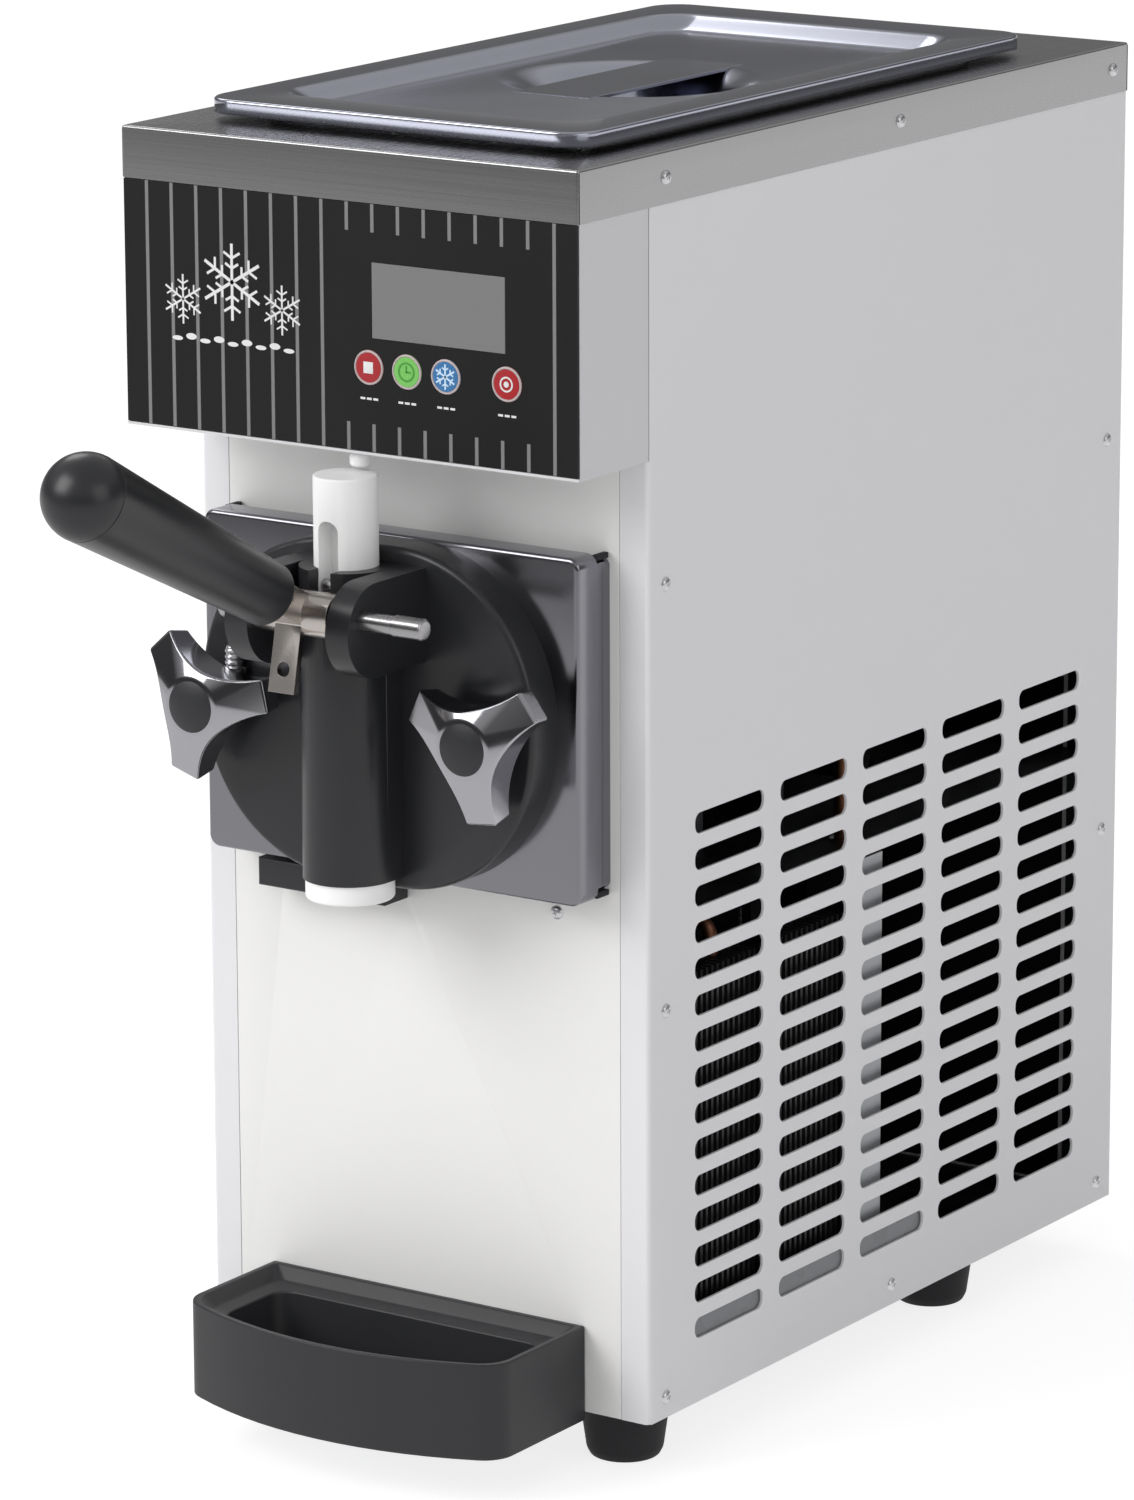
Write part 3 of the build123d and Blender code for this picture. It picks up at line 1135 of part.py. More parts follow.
def make_knob(x, turn):
    arms = wall_y(Pos(x, CYLINDER_Z) * star(turn), KNOB_FACE, KNOB_BACK)
    slope = (KNOB_TIP_FACE - KNOB_FACE) / (KNOB_REACH - CAP_DISC_R)
    depth = KNOB_BACK - KNOB_FACE
    cone = Cone(CAP_DISC_R + depth / slope, CAP_DISC_R, depth)
    arms &= Pos(x, KNOB_FACE + depth / 2, CYLINDER_Z) * Rot(90, 0, 0) * cone
    knob = arms + rod_y(KNOB_HUB_R, KNOB_BACK - 1, knob_back_y, x, CYLINDER_Z)
    knob -= rod_y(CAP_DISC_R - 0.8, KNOB_FACE - 1, KNOB_FACE + CAP_DISC_SINK, x, CYLINDER_Z)
    return knob - rod_y(STUD_R + STUD_GAP, STUD_TIP - 1, knob_back_y + 1, x, CYLINDER_Z)


def make_knob_cap(x):
    radius = CAP_DISC_R - 0.8 - LAYER_GAP
    cap = rod_y(radius, KNOB_FACE - CAP_DISC_PROUD, KNOB_FACE + CAP_DISC_SINK, x, CYLINDER_Z)
    return fillet(cap.edges().sort_by(Axis.Y)[0], CAP_DISC_PROUD * 0.9)


def make_door_studs():
    studs = []
    for x in (-KNOB_X, KNOB_X):
        stud = rod_y(STUD_R, STUD_TIP, PLATE_FRONT + SHEET, x, CYLINDER_Z)
        stud += rod_y(STUD_HEAD_R, PLATE_FRONT + SHEET, PLATE_FRONT + SHEET + STUD_HEAD, x, CYLINDER_Z)
        studs.append(stud + rod_y(COLLAR_R, DOOR_FRONT - COLLAR, DOOR_FRONT, x, CYLINDER_Z))
    return studs


# Drip tray and leak drawer

def tray_outline(inset):
    """Straight sides and back, bowed front, rounded front corners."""
    back = body_front - TRAY_BACK_GAP
    left = (-TRAY_HALF_WIDTH, TRAY_SIDE_FRONT)
    right = (TRAY_HALF_WIDTH, TRAY_SIDE_FRONT)
    edges = [
        Line((-TRAY_HALF_WIDTH, back), left),
        ThreePointArc(left, (0, TRAY_FRONT), right),
        Line(right, (TRAY_HALF_WIDTH, back)),
        Line((TRAY_HALF_WIDTH, back), (-TRAY_HALF_WIDTH, back)),
    ]
    face = Sketch() + make_face(edges)
    face = fillet(face.vertices().group_by(Axis.Y)[0], TRAY_CORNER)
    return offset(face, -inset, kind=Kind.INTERSECTION) if inset else face


def make_drip_tray():
    tray = wall_z(tray_outline(0), TRAY_BOTTOM, TRAY_TOP)
    tray = fillet(tray.faces().sort_by(Axis.Z)[-1].edges(), TRAY_WALL * 0.4)
    ledge = TRAY_TOP - TRAY_LEDGE_DROP
    tray -= wall_z(tray_outline(TRAY_WALL), ledge, TRAY_TOP + 1)
    return tray - wall_z(tray_outline(TRAY_WALL + TRAY_LEDGE), TRAY_BOTTOM + TRAY_FLOOR, TRAY_TOP)


def make_tray_bracket():
    top = TRAY_BOTTOM - BRACKET_GAP
    plate = block(-BRACKET_HALF_WIDTH, BRACKET_HALF_WIDTH, BRACKET_FRONT, BRACKET_BACK, top - BRACKET_SHEET, top)
    return plate + block(-BRACKET_HALF_WIDTH, BRACKET_HALF_WIDTH, BRACKET_PAD_FRONT, BRACKET_BACK, top, 0)


def drawer_body(grow):
    return block(DRAWER_LEFT + DRAWER_STEP - grow, DRAWER_RIGHT - DRAWER_STEP + grow, DRAWER_FRONT + DRAWER_WALL,
                 DRAWER_BACK, SHELF_TOP + DRAWER_GAP - grow, DRAWER_TOP - DRAWER_STEP + grow)


def make_leak_drawer():
    face = block(DRAWER_LEFT, DRAWER_RIGHT, DRAWER_FRONT, body_front - TRAY_BACK_GAP, DRAWER_BOTTOM, DRAWER_TOP)
    face = fillet(face.faces().sort_by(Axis.Y)[0].edges(), 1)
    hollow = block(DRAWER_LEFT + DRAWER_STEP + DRAWER_WALL, DRAWER_RIGHT - DRAWER_STEP - DRAWER_WALL,
                   body_front + 1, DRAWER_BACK - DRAWER_WALL, SHELF_TOP + DRAWER_GAP + DRAWER_WALL, DRAWER_TOP)
    return face + drawer_body(0) - hollow


def make_pieces():
    right_panel = make_right_side_panel()
    pieces = {
        "base_plate": make_base_plate(),
        "frame_posts": make_frame_posts(),
        "right_side_panel": right_panel,
        "left_side_panel": mirror(right_panel, Plane.YZ),
        "front_panel": make_front_panel(),
        "rear_panel": make_rear_panel(),
        "top_cover": make_top_cover(),
        "head_housing": make_head_housing(),
        "case_screws": make_case_screws(),
        "cylinder_shelf": make_cylinder_shelf(),
        "feet": make_feet(),
        "cord_gland": make_cord_gland(),
        "hopper_pan": make_hopper_pan(),
        "feed_tube": make_feed_tube(),
        "hopper_gasket": make_hopper_gasket(),
        "hopper_lid": make_hopper_lid(),
        "control_panel": make_control_panel(),
        "display_window": make_display_window(),
        "control_board": make_control_board(),
        "start_plunger": make_start_plunger(),
        "freezing_cylinder": make_freezing_cylinder(),
        "evaporator_jacket": make_evaporator_jacket(),
        "insulation_jacket": make_insulation_jacket(),
        "beater": make_beater(),
        "scraper_blades": make_scraper_blades(),
        "rear_seal": make_rear_seal(),
        "gearbox": make_gearbox(),
        "gearbox_pulley": make_pulley(GEARBOX_PULLEY_R, CYLINDER_Z, gearbox_back),
        "motor_pulley": make_pulley(MOTOR_PULLEY_R, MOTOR_Z, motor_back),
        "drive_belt": make_drive_belt(),
        "motor": make_motor(),
        "compressor": make_compressor(),
        "condenser": make_condenser(),
        "fan_shroud": make_fan_shroud(),
        "fan_blades": make_fan_blades(),
        "fan_motor": make_fan_motor(),
        "refrigerant_pipes": make_refrigerant_pipes(),
        "control_box": make_control_box(),
        "cylinder_plate": make_cylinder_plate(),
        "dispense_door": make_dispense_door(),
        "door_gasket": make_door_gasket(),
        "valve_piston": make_valve_piston(),
        "piston_pin": make_piston_pin(),
        "piston_seals": make_piston_seals(),
        "outlet_nozzle": make_outlet_nozzle(),
        "pivot_pin": make_pivot_pin(),
        "lever_arm": make_lever_arm(),
        "lever_grip": make_lever_grip(),
        "door_studs": make_door_studs(),
        "drip_tray": make_drip_tray(),
        "tray_bracket": make_tray_bracket(),
        "leak_drawer": make_leak_drawer(),
    }
    for name, x in BUTTON_X.items():
        pieces[name] = make_button(x)
    for name, x in (("left_knob", -KNOB_X), ("right_knob", KNOB_X)):
        pieces[name] = make_knob(x, KNOB_TURN[name])
        pieces[name + "_cap"] = make_knob_cap(x)
    return pieces


def solids_of(piece):
    shapes = piece if isinstance(piece, list) else [piece]
    return [solid for shape in shapes for solid in shape.solids()]


def main():
    os.makedirs("parts", exist_ok=True)
    place = Pos(0, shift_y, shift_z)
    for name, piece in make_pieces().items():
        solids = solids_of(piece)
        whole = solids[0] if len(solids) == 1 else Compound(solids)
        export_step(place * whole, f"parts/{name}.step")


if __name__ == "__main__":
    main()
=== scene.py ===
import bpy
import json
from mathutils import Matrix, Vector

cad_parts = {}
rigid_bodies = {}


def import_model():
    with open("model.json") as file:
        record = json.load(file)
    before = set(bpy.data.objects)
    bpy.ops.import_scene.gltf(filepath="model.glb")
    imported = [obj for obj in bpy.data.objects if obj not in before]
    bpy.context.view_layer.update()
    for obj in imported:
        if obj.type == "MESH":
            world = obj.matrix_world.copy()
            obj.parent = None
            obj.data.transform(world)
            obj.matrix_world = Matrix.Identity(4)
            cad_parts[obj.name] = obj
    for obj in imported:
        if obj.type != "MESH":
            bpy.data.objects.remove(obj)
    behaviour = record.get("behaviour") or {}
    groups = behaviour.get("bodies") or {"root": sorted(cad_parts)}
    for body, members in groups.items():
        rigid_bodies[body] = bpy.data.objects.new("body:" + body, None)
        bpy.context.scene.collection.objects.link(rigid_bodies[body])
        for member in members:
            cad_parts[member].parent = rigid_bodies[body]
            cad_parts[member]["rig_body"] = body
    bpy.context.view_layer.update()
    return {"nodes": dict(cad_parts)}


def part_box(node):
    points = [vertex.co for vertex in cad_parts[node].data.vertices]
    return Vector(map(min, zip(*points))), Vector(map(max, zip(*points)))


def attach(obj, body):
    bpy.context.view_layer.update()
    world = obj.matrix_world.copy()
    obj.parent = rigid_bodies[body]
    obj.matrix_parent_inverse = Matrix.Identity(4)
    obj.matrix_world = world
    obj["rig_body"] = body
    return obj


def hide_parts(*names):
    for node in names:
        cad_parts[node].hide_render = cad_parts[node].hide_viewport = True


bl_info = {
    "name": "Soft-serve machine",
    "version": (1, 0, 0),
    "blender": (4, 5, 0),
    "location": "3D Viewport > Sidebar > Soft-serve",
    "description": "Builds the looks of a counter-top soft-serve machine around its packed frame",
    "category": "Object",
}

import json
from math import asin, cos, degrees, pi, radians, sin, tau

import bmesh
import bpy
from bpy.props import FloatProperty, FloatVectorProperty, PointerProperty
from mathutils import Matrix, Vector

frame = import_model()

# Meshes are made in millimetres from the cap's front face and the panels' bottom edge, then placed.
MM = 0.001
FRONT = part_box("top_cover")[0].y
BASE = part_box("right_side_panel")[0].z
PLACE = Matrix.Translation((0, FRONT, BASE)) @ Matrix.Scale(MM, 4)
UNPLACE = PLACE.inverted()
FACING_FRONT = Matrix.Rotation(radians(90), 4, "X")
SIDES = (-1, 1)


def local_box(node):
    """A node's corners in millimetres, in the frame that the meshes are made in."""
    low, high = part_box(node)
    return UNPLACE @ low, UNPLACE @ high


# Sizes and colours that a user would change

def colour(name, description, default):
    return FloatVectorProperty(name=name, description=description, default=default,
                               min=0.0, max=1.0, subtype="COLOR")


def length(name, description, default):
    return FloatProperty(name=name, description=description, default=default, min=0.0, unit="LENGTH")


class SoftServeColours(bpy.types.PropertyGroup):
    # The side paint is the front's coat made a little darker: painted shade for the sides, which take less light.
    side_paint: colour("Side paint", "Powder coat of the sides, head and back", (0.76, 0.757, 0.778))
    front_paint: colour("Front paint", "Paint of the front panel", (0.82, 0.815, 0.805))
    cap_steel: colour("Cap steel", "Brushed steel of the cap", (0.37, 0.37, 0.376))
    lid_steel: colour("Lid steel", "Polished steel of the hopper lid", (0.42, 0.43, 0.50))
    plate_steel: colour("Plate steel", "Steel box behind the dispensing door", (0.25, 0.25, 0.272))
    lever_steel: colour("Lever steel", "Cast steel of the lever", (0.58, 0.54, 0.51))
    chrome: colour("Chrome", "Star knobs", (0.43, 0.43, 0.455))
    black: colour("Black plastic", "Moulded door, grip and tray", (0.018, 0.0184, 0.0212))
    white: colour("White plastic", "Piston, nozzle and plunger", (0.90, 0.90, 0.895))
    overlay: colour("Overlay", "Film on the control panel", (0.010, 0.010, 0.0105))
    stripe: colour("Stripe", "Lines on the control panel", (0.20, 0.20, 0.20))
    display: colour("Display", "Display window", (0.185, 0.185, 0.188))
    red: colour("Red", "Stop and set buttons", (0.38, 0.010, 0.016))
    green: colour("Green", "Clean button", (0.17, 0.52, 0.10))
    blue: colour("Blue", "Cool button", (0.03, 0.16, 0.38))
    rubber: colour("Rubber", "Feet and gaskets", (0.014, 0.014, 0.016))


class SoftServeSizes(bpy.types.PropertyGroup):
    stripe_first: length("First stripe", "From the panel's middle to its left stripe", 0.0979)
    stripe_pitch: length("Stripe pitch", "Between two stripes", 0.01229)
    stripe_width: length("Stripe width", "Width of one stripe", 0.0016)
    tick_length: length("Tick length", "Short stripes at the panel's upper and lower edge", 0.0112)
    knob_reach: length("Knob reach", "From a knob's axis to its tips", 0.033)
    knob_tip: length("Knob tip", "Half the width of a tip", 0.007)
    knob_waist: length("Knob waist", "From the axis to the hollow sides", 0.0155)
    lid_round: length("Lid rounding", "Radius of the lid's pressed edges", 0.0014)


def colours():
    return bpy.context.scene.softserve_colours


def sizes():
    return bpy.context.scene.softserve_sizes


# Finishes

def operation(name, flipped=False):
    """A method of Wire that adds one Math node."""
    def method(self, other=0.0):
        first, second = (other, self) if flipped else (self, other)
        return self.nodes.node("Math", {"operation": name}, {0: first, 1: second})
    return method


class Wire:
    """A shader socket; arithmetic on it adds Math nodes."""

    def __init__(self, nodes, socket):
        self.nodes = nodes
        self.socket = socket

    __add__ = operation("ADD")
    __radd__ = operation("ADD", flipped=True)
    __sub__ = operation("SUBTRACT")
    __rsub__ = operation("SUBTRACT", flipped=True)
    __mul__ = operation("MULTIPLY")
    __rmul__ = operation("MULTIPLY", flipped=True)
    __truediv__ = operation("DIVIDE")
    __mod__ = operation("FLOORED_MODULO")
    __lt__ = operation("LESS_THAN")
    __gt__ = operation("GREATER_THAN")
    __abs__ = operation("ABSOLUTE")
    smaller = operation("MINIMUM")
    larger = operation("MAXIMUM")
    rounded = operation("ROUND")


class Nodes:
    """A node tree whose nodes are added by expressions."""

    def __init__(self, tree):
        self.tree = tree

    def put(self, node, socket, value):
        target = node.inputs[socket]
        if isinstance(value, Wire):
            self.tree.links.new(value.socket, target)
        elif target.type == "RGBA":
            target.default_value = (*value, 1.0)
        else:
            target.default_value = value

    def node(self, kind, settings=None, inputs=None, out=0):
        node = self.tree.nodes.new("ShaderNode" + kind)
        for key, value in (settings or {}).items():
            setattr(node, key, value)
        for socket, value in (inputs or {}).items():
            self.put(node, socket, value)
        return Wire(self, node.outputs[out])

    def ray(self, kind):
        return self.node("LightPath", out=f"Is {kind} Ray")

    def place(self):
        return self.node("TexCoord", out="Object")

    def along(self, axis, vector=None):
        """One coordinate of a vector, or else of the place on the object."""
        vector = self.place() if vector is None else vector
        return self.node("SeparateXYZ", inputs={"Vector": vector}, out=axis)

    def noise(self, scale, detail=2.0, stretch=(1, 1, 1)):
        points = self.node("Mapping", inputs={"Vector": self.place(), "Scale": stretch})
        return self.node("TexNoise", inputs={"Vector": points, "Scale": scale, "Detail": detail}, out="Fac")

    def blend(self, mask, low, high):
        return self.node("Mix", {"data_type": "RGBA"}, {0: mask, 6: low, 7: high}, out=2)

    def shades(self, mask, base, spread):
        """The base colour, a little darker and lighter by turns."""
        low = [channel * (1 - spread) for channel in base]
        high = [min(1.0, channel * (1 + spread)) for channel in base]
        return self.blend(mask, low, high)

    def ramp(self, mask, low, high):
        """0 to 1 as the mask goes from low to high."""
        return self.node("MapRange", inputs={"Value": mask, "From Min": low, "From Max": high})

    def bump(self, height, strength, depth):
        return self.node("Bump", inputs={"Height": height, "Strength": strength, "Distance": depth})


class Finish(Nodes):
    """A material; its shader's sockets are given by name."""

    def __init__(self, name, **shader):
        self.material = bpy.data.materials.new(name)
        self.material.use_nodes = True
        super().__init__(self.material.node_tree)
        self.shader = self.tree.nodes["Principled BSDF"]
        self.feed(**shader)

    def feed(self, **shader):
        for socket, value in shader.items():
            self.put(self.shader, socket.replace("_", " "), value)
        return self.material


def grey(shade):
    return shade, shade, shade


def paint(name, base):
    """Powder coat: faint cloudiness and a fine orange peel."""
    finish = Finish(name, Specular_IOR_Level=0.45)
    cloud = finish.noise(5.0, detail=3.0)
    peel = finish.noise(520.0, detail=1.0)
    return finish.feed(
        Base_Color=finish.shades(cloud, base, spread=0.025),
        Roughness=0.36 + cloud * 0.10,
        Normal=finish.bump(peel, strength=0.10, depth=0.0002))


def brushed(name, base, grain, rough=0.30, spread=0.10):
    """Brushed steel, its grain long in one direction, with broad patches of painted reflection in its colour."""
    finish = Finish(name, Metallic=1.0)
    facing_up = abs(finish.along("Z", finish.node("NewGeometry", out="Normal"))) > 0.7
    lines = finish.noise(1.0, 3.0, grain)
    lines = lines + facing_up * (finish.noise(1.0, 3.0, (max(grain), 6, 6)) - lines)
    # Painted reflection: the soft cloud lightens and darkens the colour in broad patches.
    cloud = finish.noise(7.0)
    return finish.feed(
        Base_Color=finish.shades(lines * 0.6 + cloud * 0.4, base, spread),
        Roughness=rough - 0.05 + lines * 0.10 + cloud * 0.05,
        Normal=finish.bump(lines, strength=0.08, depth=0.0001))


def polished(name, base, rough):
    """Polished metal with faint smears and fine wiping marks."""
    finish = Finish(name, Metallic=1.0)
    smear = finish.noise(22.0, detail=4.0)
    wipes = finish.noise(1.0, 2.0, (900, 60, 900))
    return finish.feed(
        Base_Color=finish.shades(smear, base, spread=0.05),
        Roughness=rough + smear * 0.08 + wipes * 0.03,
        Normal=finish.bump(wipes, strength=0.01, depth=0.00005))


def moulded(name, base, rough=0.42, grain=1500.0, depth=0.00012):
    """Moulded plastic: fine spark grain and handled, slightly shinier patches."""
    finish = Finish(name)
    patch = finish.noise(16.0, detail=3.0)
    spark = finish.noise(grain, detail=1.0)
    return finish.feed(
        Base_Color=finish.shades(patch, base, spread=0.12),
        Roughness=rough - 0.06 + patch * 0.12 + spark * 0.06,
        Normal=finish.bump(spark, 0.18, depth))


def gloss(name, base):
    """Glossy printed cap under a clear coat."""
    finish = Finish(name, Roughness=0.35, Coat_Weight=0.15, Coat_Roughness=0.12)
    patch = finish.noise(90.0)
    return finish.feed(Base_Color=finish.shades(patch, base, spread=0.05))


def rubber(name, base):
    """Matt rubber, paler where dust clings."""
    finish = Finish(name, Specular_IOR_Level=0.3)
    dust = finish.noise(40.0, detail=4.0)
    pores = finish.noise(900.0)
    dusty = [channel * 2.2 + 0.01 for channel in base]
    return finish.feed(
        Base_Color=finish.blend(dust * 0.25, base, dusty),
        Roughness=0.60 + dust * 0.20,
        Normal=finish.bump(pores, strength=0.20, depth=0.0002))


def galvanised(name, base):
    """Zinc spangle."""
    finish = Finish(name, Metallic=1.0)
    cells = finish.node("TexVoronoi", inputs={"Vector": finish.place(), "Scale": 110.0}, out="Color")
    spangle = finish.node("SeparateColor", inputs={"Color": cells})
    return finish.feed(
        Base_Color=finish.shades(spangle, base, spread=0.16),
        Roughness=0.34 + spangle * 0.16)


LAST_STRIPE = 16
LAST_TALL_STRIPE = 7


def striped_film(name):
    """Black film: tall stripes left, short ticks around the controls, one tall stripe right."""
    size = sizes()
    low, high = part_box("control_panel")
    finish = Finish(name, Specular_IOR_Level=0.25)
    across = (finish.along("X") + size.stripe_first) / size.stripe_pitch
    height = finish.along("Z")
    number = across.rounded()
    line = abs(across - number) < size.stripe_width / size.stripe_pitch / 2
    counted = (number > -0.5) * (number < LAST_STRIPE + 0.5)
    tall = (number < LAST_TALL_STRIPE + 0.5) + (number > LAST_STRIPE - 0.5)
    edge = (height > high.z - size.tick_length) + (height < low.z + size.tick_length)
    lines = line * counted * (tall + edge).smaller(1.0)
    grain = finish.noise(800.0, detail=1.0)
    cloud = finish.noise(14.0)
    base = finish.shades(cloud, colours().overlay, spread=0.15)
    return finish.feed(
        Base_Color=finish.blend(lines, base, colours().stripe),
        Roughness=0.40 + cloud * 0.08,
        Normal=finish.bump(lines + grain * 0.06, strength=0.35, depth=0.0003))


PIXEL_ROWS = 2400.0  # to the metre
PIXEL_GAP = 0.18     # share of a row


def display_glass(name):
    """Unlit liquid-crystal window: fine pixel rows under a clear coat."""
    finish = Finish(name, Coat_Weight=0.35, Coat_Roughness=0.12, Specular_IOR_Level=0.3)
    rows = (finish.along("Z") * PIXEL_ROWS % 1.0) < PIXEL_GAP
    cloud = finish.noise(30.0)
    return finish.feed(
        Base_Color=finish.shades(cloud * 0.7 + rows * 0.3, colours().display, spread=0.05),
        Roughness=0.40 + cloud * 0.06)


FLANGE_SHEET = 0.0009


def coated_fins(name):
    """Near-black fins, painted shade for the dim inside, between bare zinc end flanges, which stand furthest out.
    """
    finish = Finish(name)
    flange = finish.along("X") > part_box("condenser")[1].x - FLANGE_SHEET
    cloud = finish.noise(60.0, detail=3.0)
    bare = finish.shades(cloud, (0.42, 0.43, 0.45), spread=0.12)
    # Painted shade: near black, so that the fins read as the dark inside through the slots.
    shade_black = finish.shades(cloud, (0.010, 0.010, 0.011), spread=0.3)
    return finish.feed(
        Base_Color=finish.blend(flange, shade_black, bare),
        Metallic=flange * 0.6,
        Roughness=0.45 + cloud * 0.1)


THREADS = 900.0  # to the metre


def woven(name):
    """Fine black screen: crossed threads."""
    finish = Finish(name, Roughness=0.7, Specular_IOR_Level=0.2)
    upright, level = (abs(finish.along(axis) * THREADS % 1.0 - 0.5) for axis in "YZ")
    weave = upright.larger(level)
    return finish.feed(
        Base_Color=finish.shades(weave, (0.008, 0.008, 0.009), spread=0.5),
        Normal=finish.bump(weave, strength=0.4, depth=0.0003))


def circuit_board(name):
    """Green board with paler tracks."""
    finish = Finish(name, Roughness=0.45)
    tracks = finish.node("TexBrick", inputs={
        "Vector": finish.place(), "Scale": 160.0, "Color1": (0.02, 0.16, 0.06),
        "Color2": (0.015, 0.11, 0.045), "Mortar": (0.10, 0.30, 0.12), "Mortar Size": 0.03})
    return finish.feed(Base_Color=tracks)


def foam(name):
    """Near-black elastomer foam, its black painted shade for the dim inside of the machine."""
    finish = Finish(name, Roughness=0.9)
    bubbles = finish.noise(300.0, detail=3.0)
    return finish.feed(
        Base_Color=finish.shades(bubbles, (0.013, 0.013, 0.014), spread=0.25),
        Normal=finish.bump(bubbles, strength=0.5, depth=0.001))


HEAD_PAINTED_SHADE = 0.84  # painted shade: the head's paint is the sides' paint darkened, as if less light fell on it


def finish_table():
    """What makes each finish: a function and what it takes after the name."""
    tint = colours()
    return {
        "side_paint": (paint, tint.side_paint),
        "front_paint": (paint, tint.front_paint),
        # Painted shade: the sides' paint, darkened for the head.
        "head_paint": (paint, [channel * HEAD_PAINTED_SHADE for channel in tint.side_paint]),
        "machine_black": (paint, (0.03, 0.03, 0.032)),
        "cap_steel": (brushed, tint.cap_steel, (6, 6, 1400), 0.24),
        "pan_steel": (brushed, (0.70, 0.70, 0.72), (1100, 6, 1100), 0.42, 0.06),
        "hidden_steel": (brushed, (0.42, 0.42, 0.44), (1100, 6, 1100)),
        "pin_steel": (brushed, (0.42, 0.41, 0.42), (14, 900, 900), 0.26),
        "lid_steel": (polished, tint.lid_steel, 0.10),
        "plate_steel": (polished, tint.plate_steel, 0.12),
        "lever_steel": (polished, tint.lever_steel, 0.20),
        "chrome": (polished, tint.chrome, 0.06),
        "screw_zinc": (polished, (0.66, 0.66, 0.68), 0.24),
        # Painted shade: copper darkened far below its own tone, for the dim inside of the machine.
        "copper_pipe": (polished, (0.22, 0.10, 0.06), 0.38),
        "black_plastic": (moulded, tint.black),
        "shiny_black_plastic": (moulded, tint.black, 0.30, 1500.0, 0.00006),
        "white_plastic": (moulded, tint.white, 0.40, 700.0, 0.0001),
        "white_print": (moulded, grey(0.70), 0.5),
        "cast_grey": (moulded, (0.20, 0.205, 0.21), 0.55, 400.0, 0.0004),
        "red_cap": (gloss, tint.red),
        "green_cap": (gloss, tint.green),
        "blue_cap": (gloss, tint.blue),
        "pale_ring": (gloss, (0.50, 0.42, 0.42)),
        "deep_green": (gloss, (0.05, 0.30, 0.03)),
        "pale_blue": (gloss, (0.55, 0.72, 0.90)),
        "black_rubber": (rubber, tint.rubber),
        # Painted shade: zinc darkened well below its own tone, for the dim inside of the machine.
        "zinc_sheet": (galvanised, (0.19, 0.195, 0.205)),
        "striped_film": (striped_film,),
        "display_glass": (display_glass,),
        "coated_fins": (coated_fins,),
        "dust_screen": (woven,),
        "circuit_board": (circuit_board,),
        "elastomer_foam": (foam,),
    }


finishes_made = {}


def finish_for(name):
    """Each finish is made once, when a piece first asks for it."""
    if name not in finishes_made:
        make, *given = finish_table()[name]
        finishes_made[name] = make(name, *given)
    return finishes_made[name]


# Mesh tools

SHARP = 32.0        # degrees between faces that meet in an edge
SAME_POINT = 2e-6   # metres
FLAT = 1.0          # degrees


def dress(finish, *nodes):
    """Gives CAD nodes their finish."""
    for node in nodes:
        mesh = frame["nodes"][node].data
        mesh.materials.clear()
        mesh.materials.append(finish_for(finish))


def meshed(name, bm):
    mesh = bpy.data.meshes.new(name)
    bm.to_mesh(mesh)
    bm.free()
    return mesh


def in_scene(name, data):
    made = bpy.data.objects.new(name, data)
    bpy.context.scene.collection.objects.link(made)
    return made


def piece(name, bm, body, finishes, replaces=(), sharp=SHARP, stand=None, place=PLACE):
    """Turns a bmesh into a placed object that rides on a body."""
    bmesh.ops.transform(bm, matrix=place if stand is None else place @ stand, verts=bm.verts)
    mesh = meshed(name, bm)
    for finish in finishes:
        mesh.materials.append(finish_for(finish))
    mesh.shade_smooth()
    mesh.set_sharp_from_angle(angle=radians(sharp))
    made = in_scene(name, mesh)
    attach(made, body)
    if replaces:
        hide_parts(*replaces)
    return made


def rounded_edges(made, width, segments, angle):
    """A live bevel on the piece's sharp edges."""
    bevel = made.modifiers.new("Edges", "BEVEL")
    bevel.width = width * MM
    bevel.segments = segments
    bevel.limit_method = "ANGLE"
    bevel.angle_limit = radians(angle)
    bevel.harden_normals = True
    bevel.miter_outer = "MITER_ARC"


def merged(node):
    """A copy of a CAD node's mesh with its doubled corners merged."""
    bm = bmesh.new()
    bm.from_mesh(frame["nodes"][node].data)
    bmesh.ops.remove_doubles(bm, verts=bm.verts, dist=SAME_POINT)
    return bm


def bevelled(bm, geom, offset, segments, affect="EDGES"):
    bmesh.ops.bevel(bm, geom=geom, offset=offset, offset_type="OFFSET", segments=segments,
                    profile=0.5, affect=affect, material=-1)


def softened(node, finish, width, segments=2, fold=None, bend=0.0):
    """A merged copy of a CAD node with rounded edges, in place of the node.

    Where fold is true of both ends of an edge, the edge gets the bend's larger radius."""
    bm = merged(node)
    bmesh.ops.dissolve_limit(bm, angle_limit=radians(FLAT), verts=bm.verts, edges=bm.edges)
    for face in bm.faces:
        face.material_index = 0
    if fold:
        folded = [e for e in bm.edges if all(fold(UNPLACE @ v.co) for v in e.verts)]
        bevelled(bm, folded, bend * MM, 4)
    body = frame["nodes"][node]["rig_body"]
    made = piece(node + "_shell", bm, body, [finish], [node], place=Matrix.Identity(4))
    rounded_edges(made, width, segments, SHARP)


def joined(bm, part, matrix=None, material=0):
    """Adds another bmesh to this one."""
    if matrix is not None:
        bmesh.ops.transform(part, matrix=matrix, verts=part.verts)
    for face in part.faces:
        face.material_index = material
    carrier = meshed("carrier", part)
    bm.from_mesh(carrier)
    bpy.data.meshes.remove(carrier)


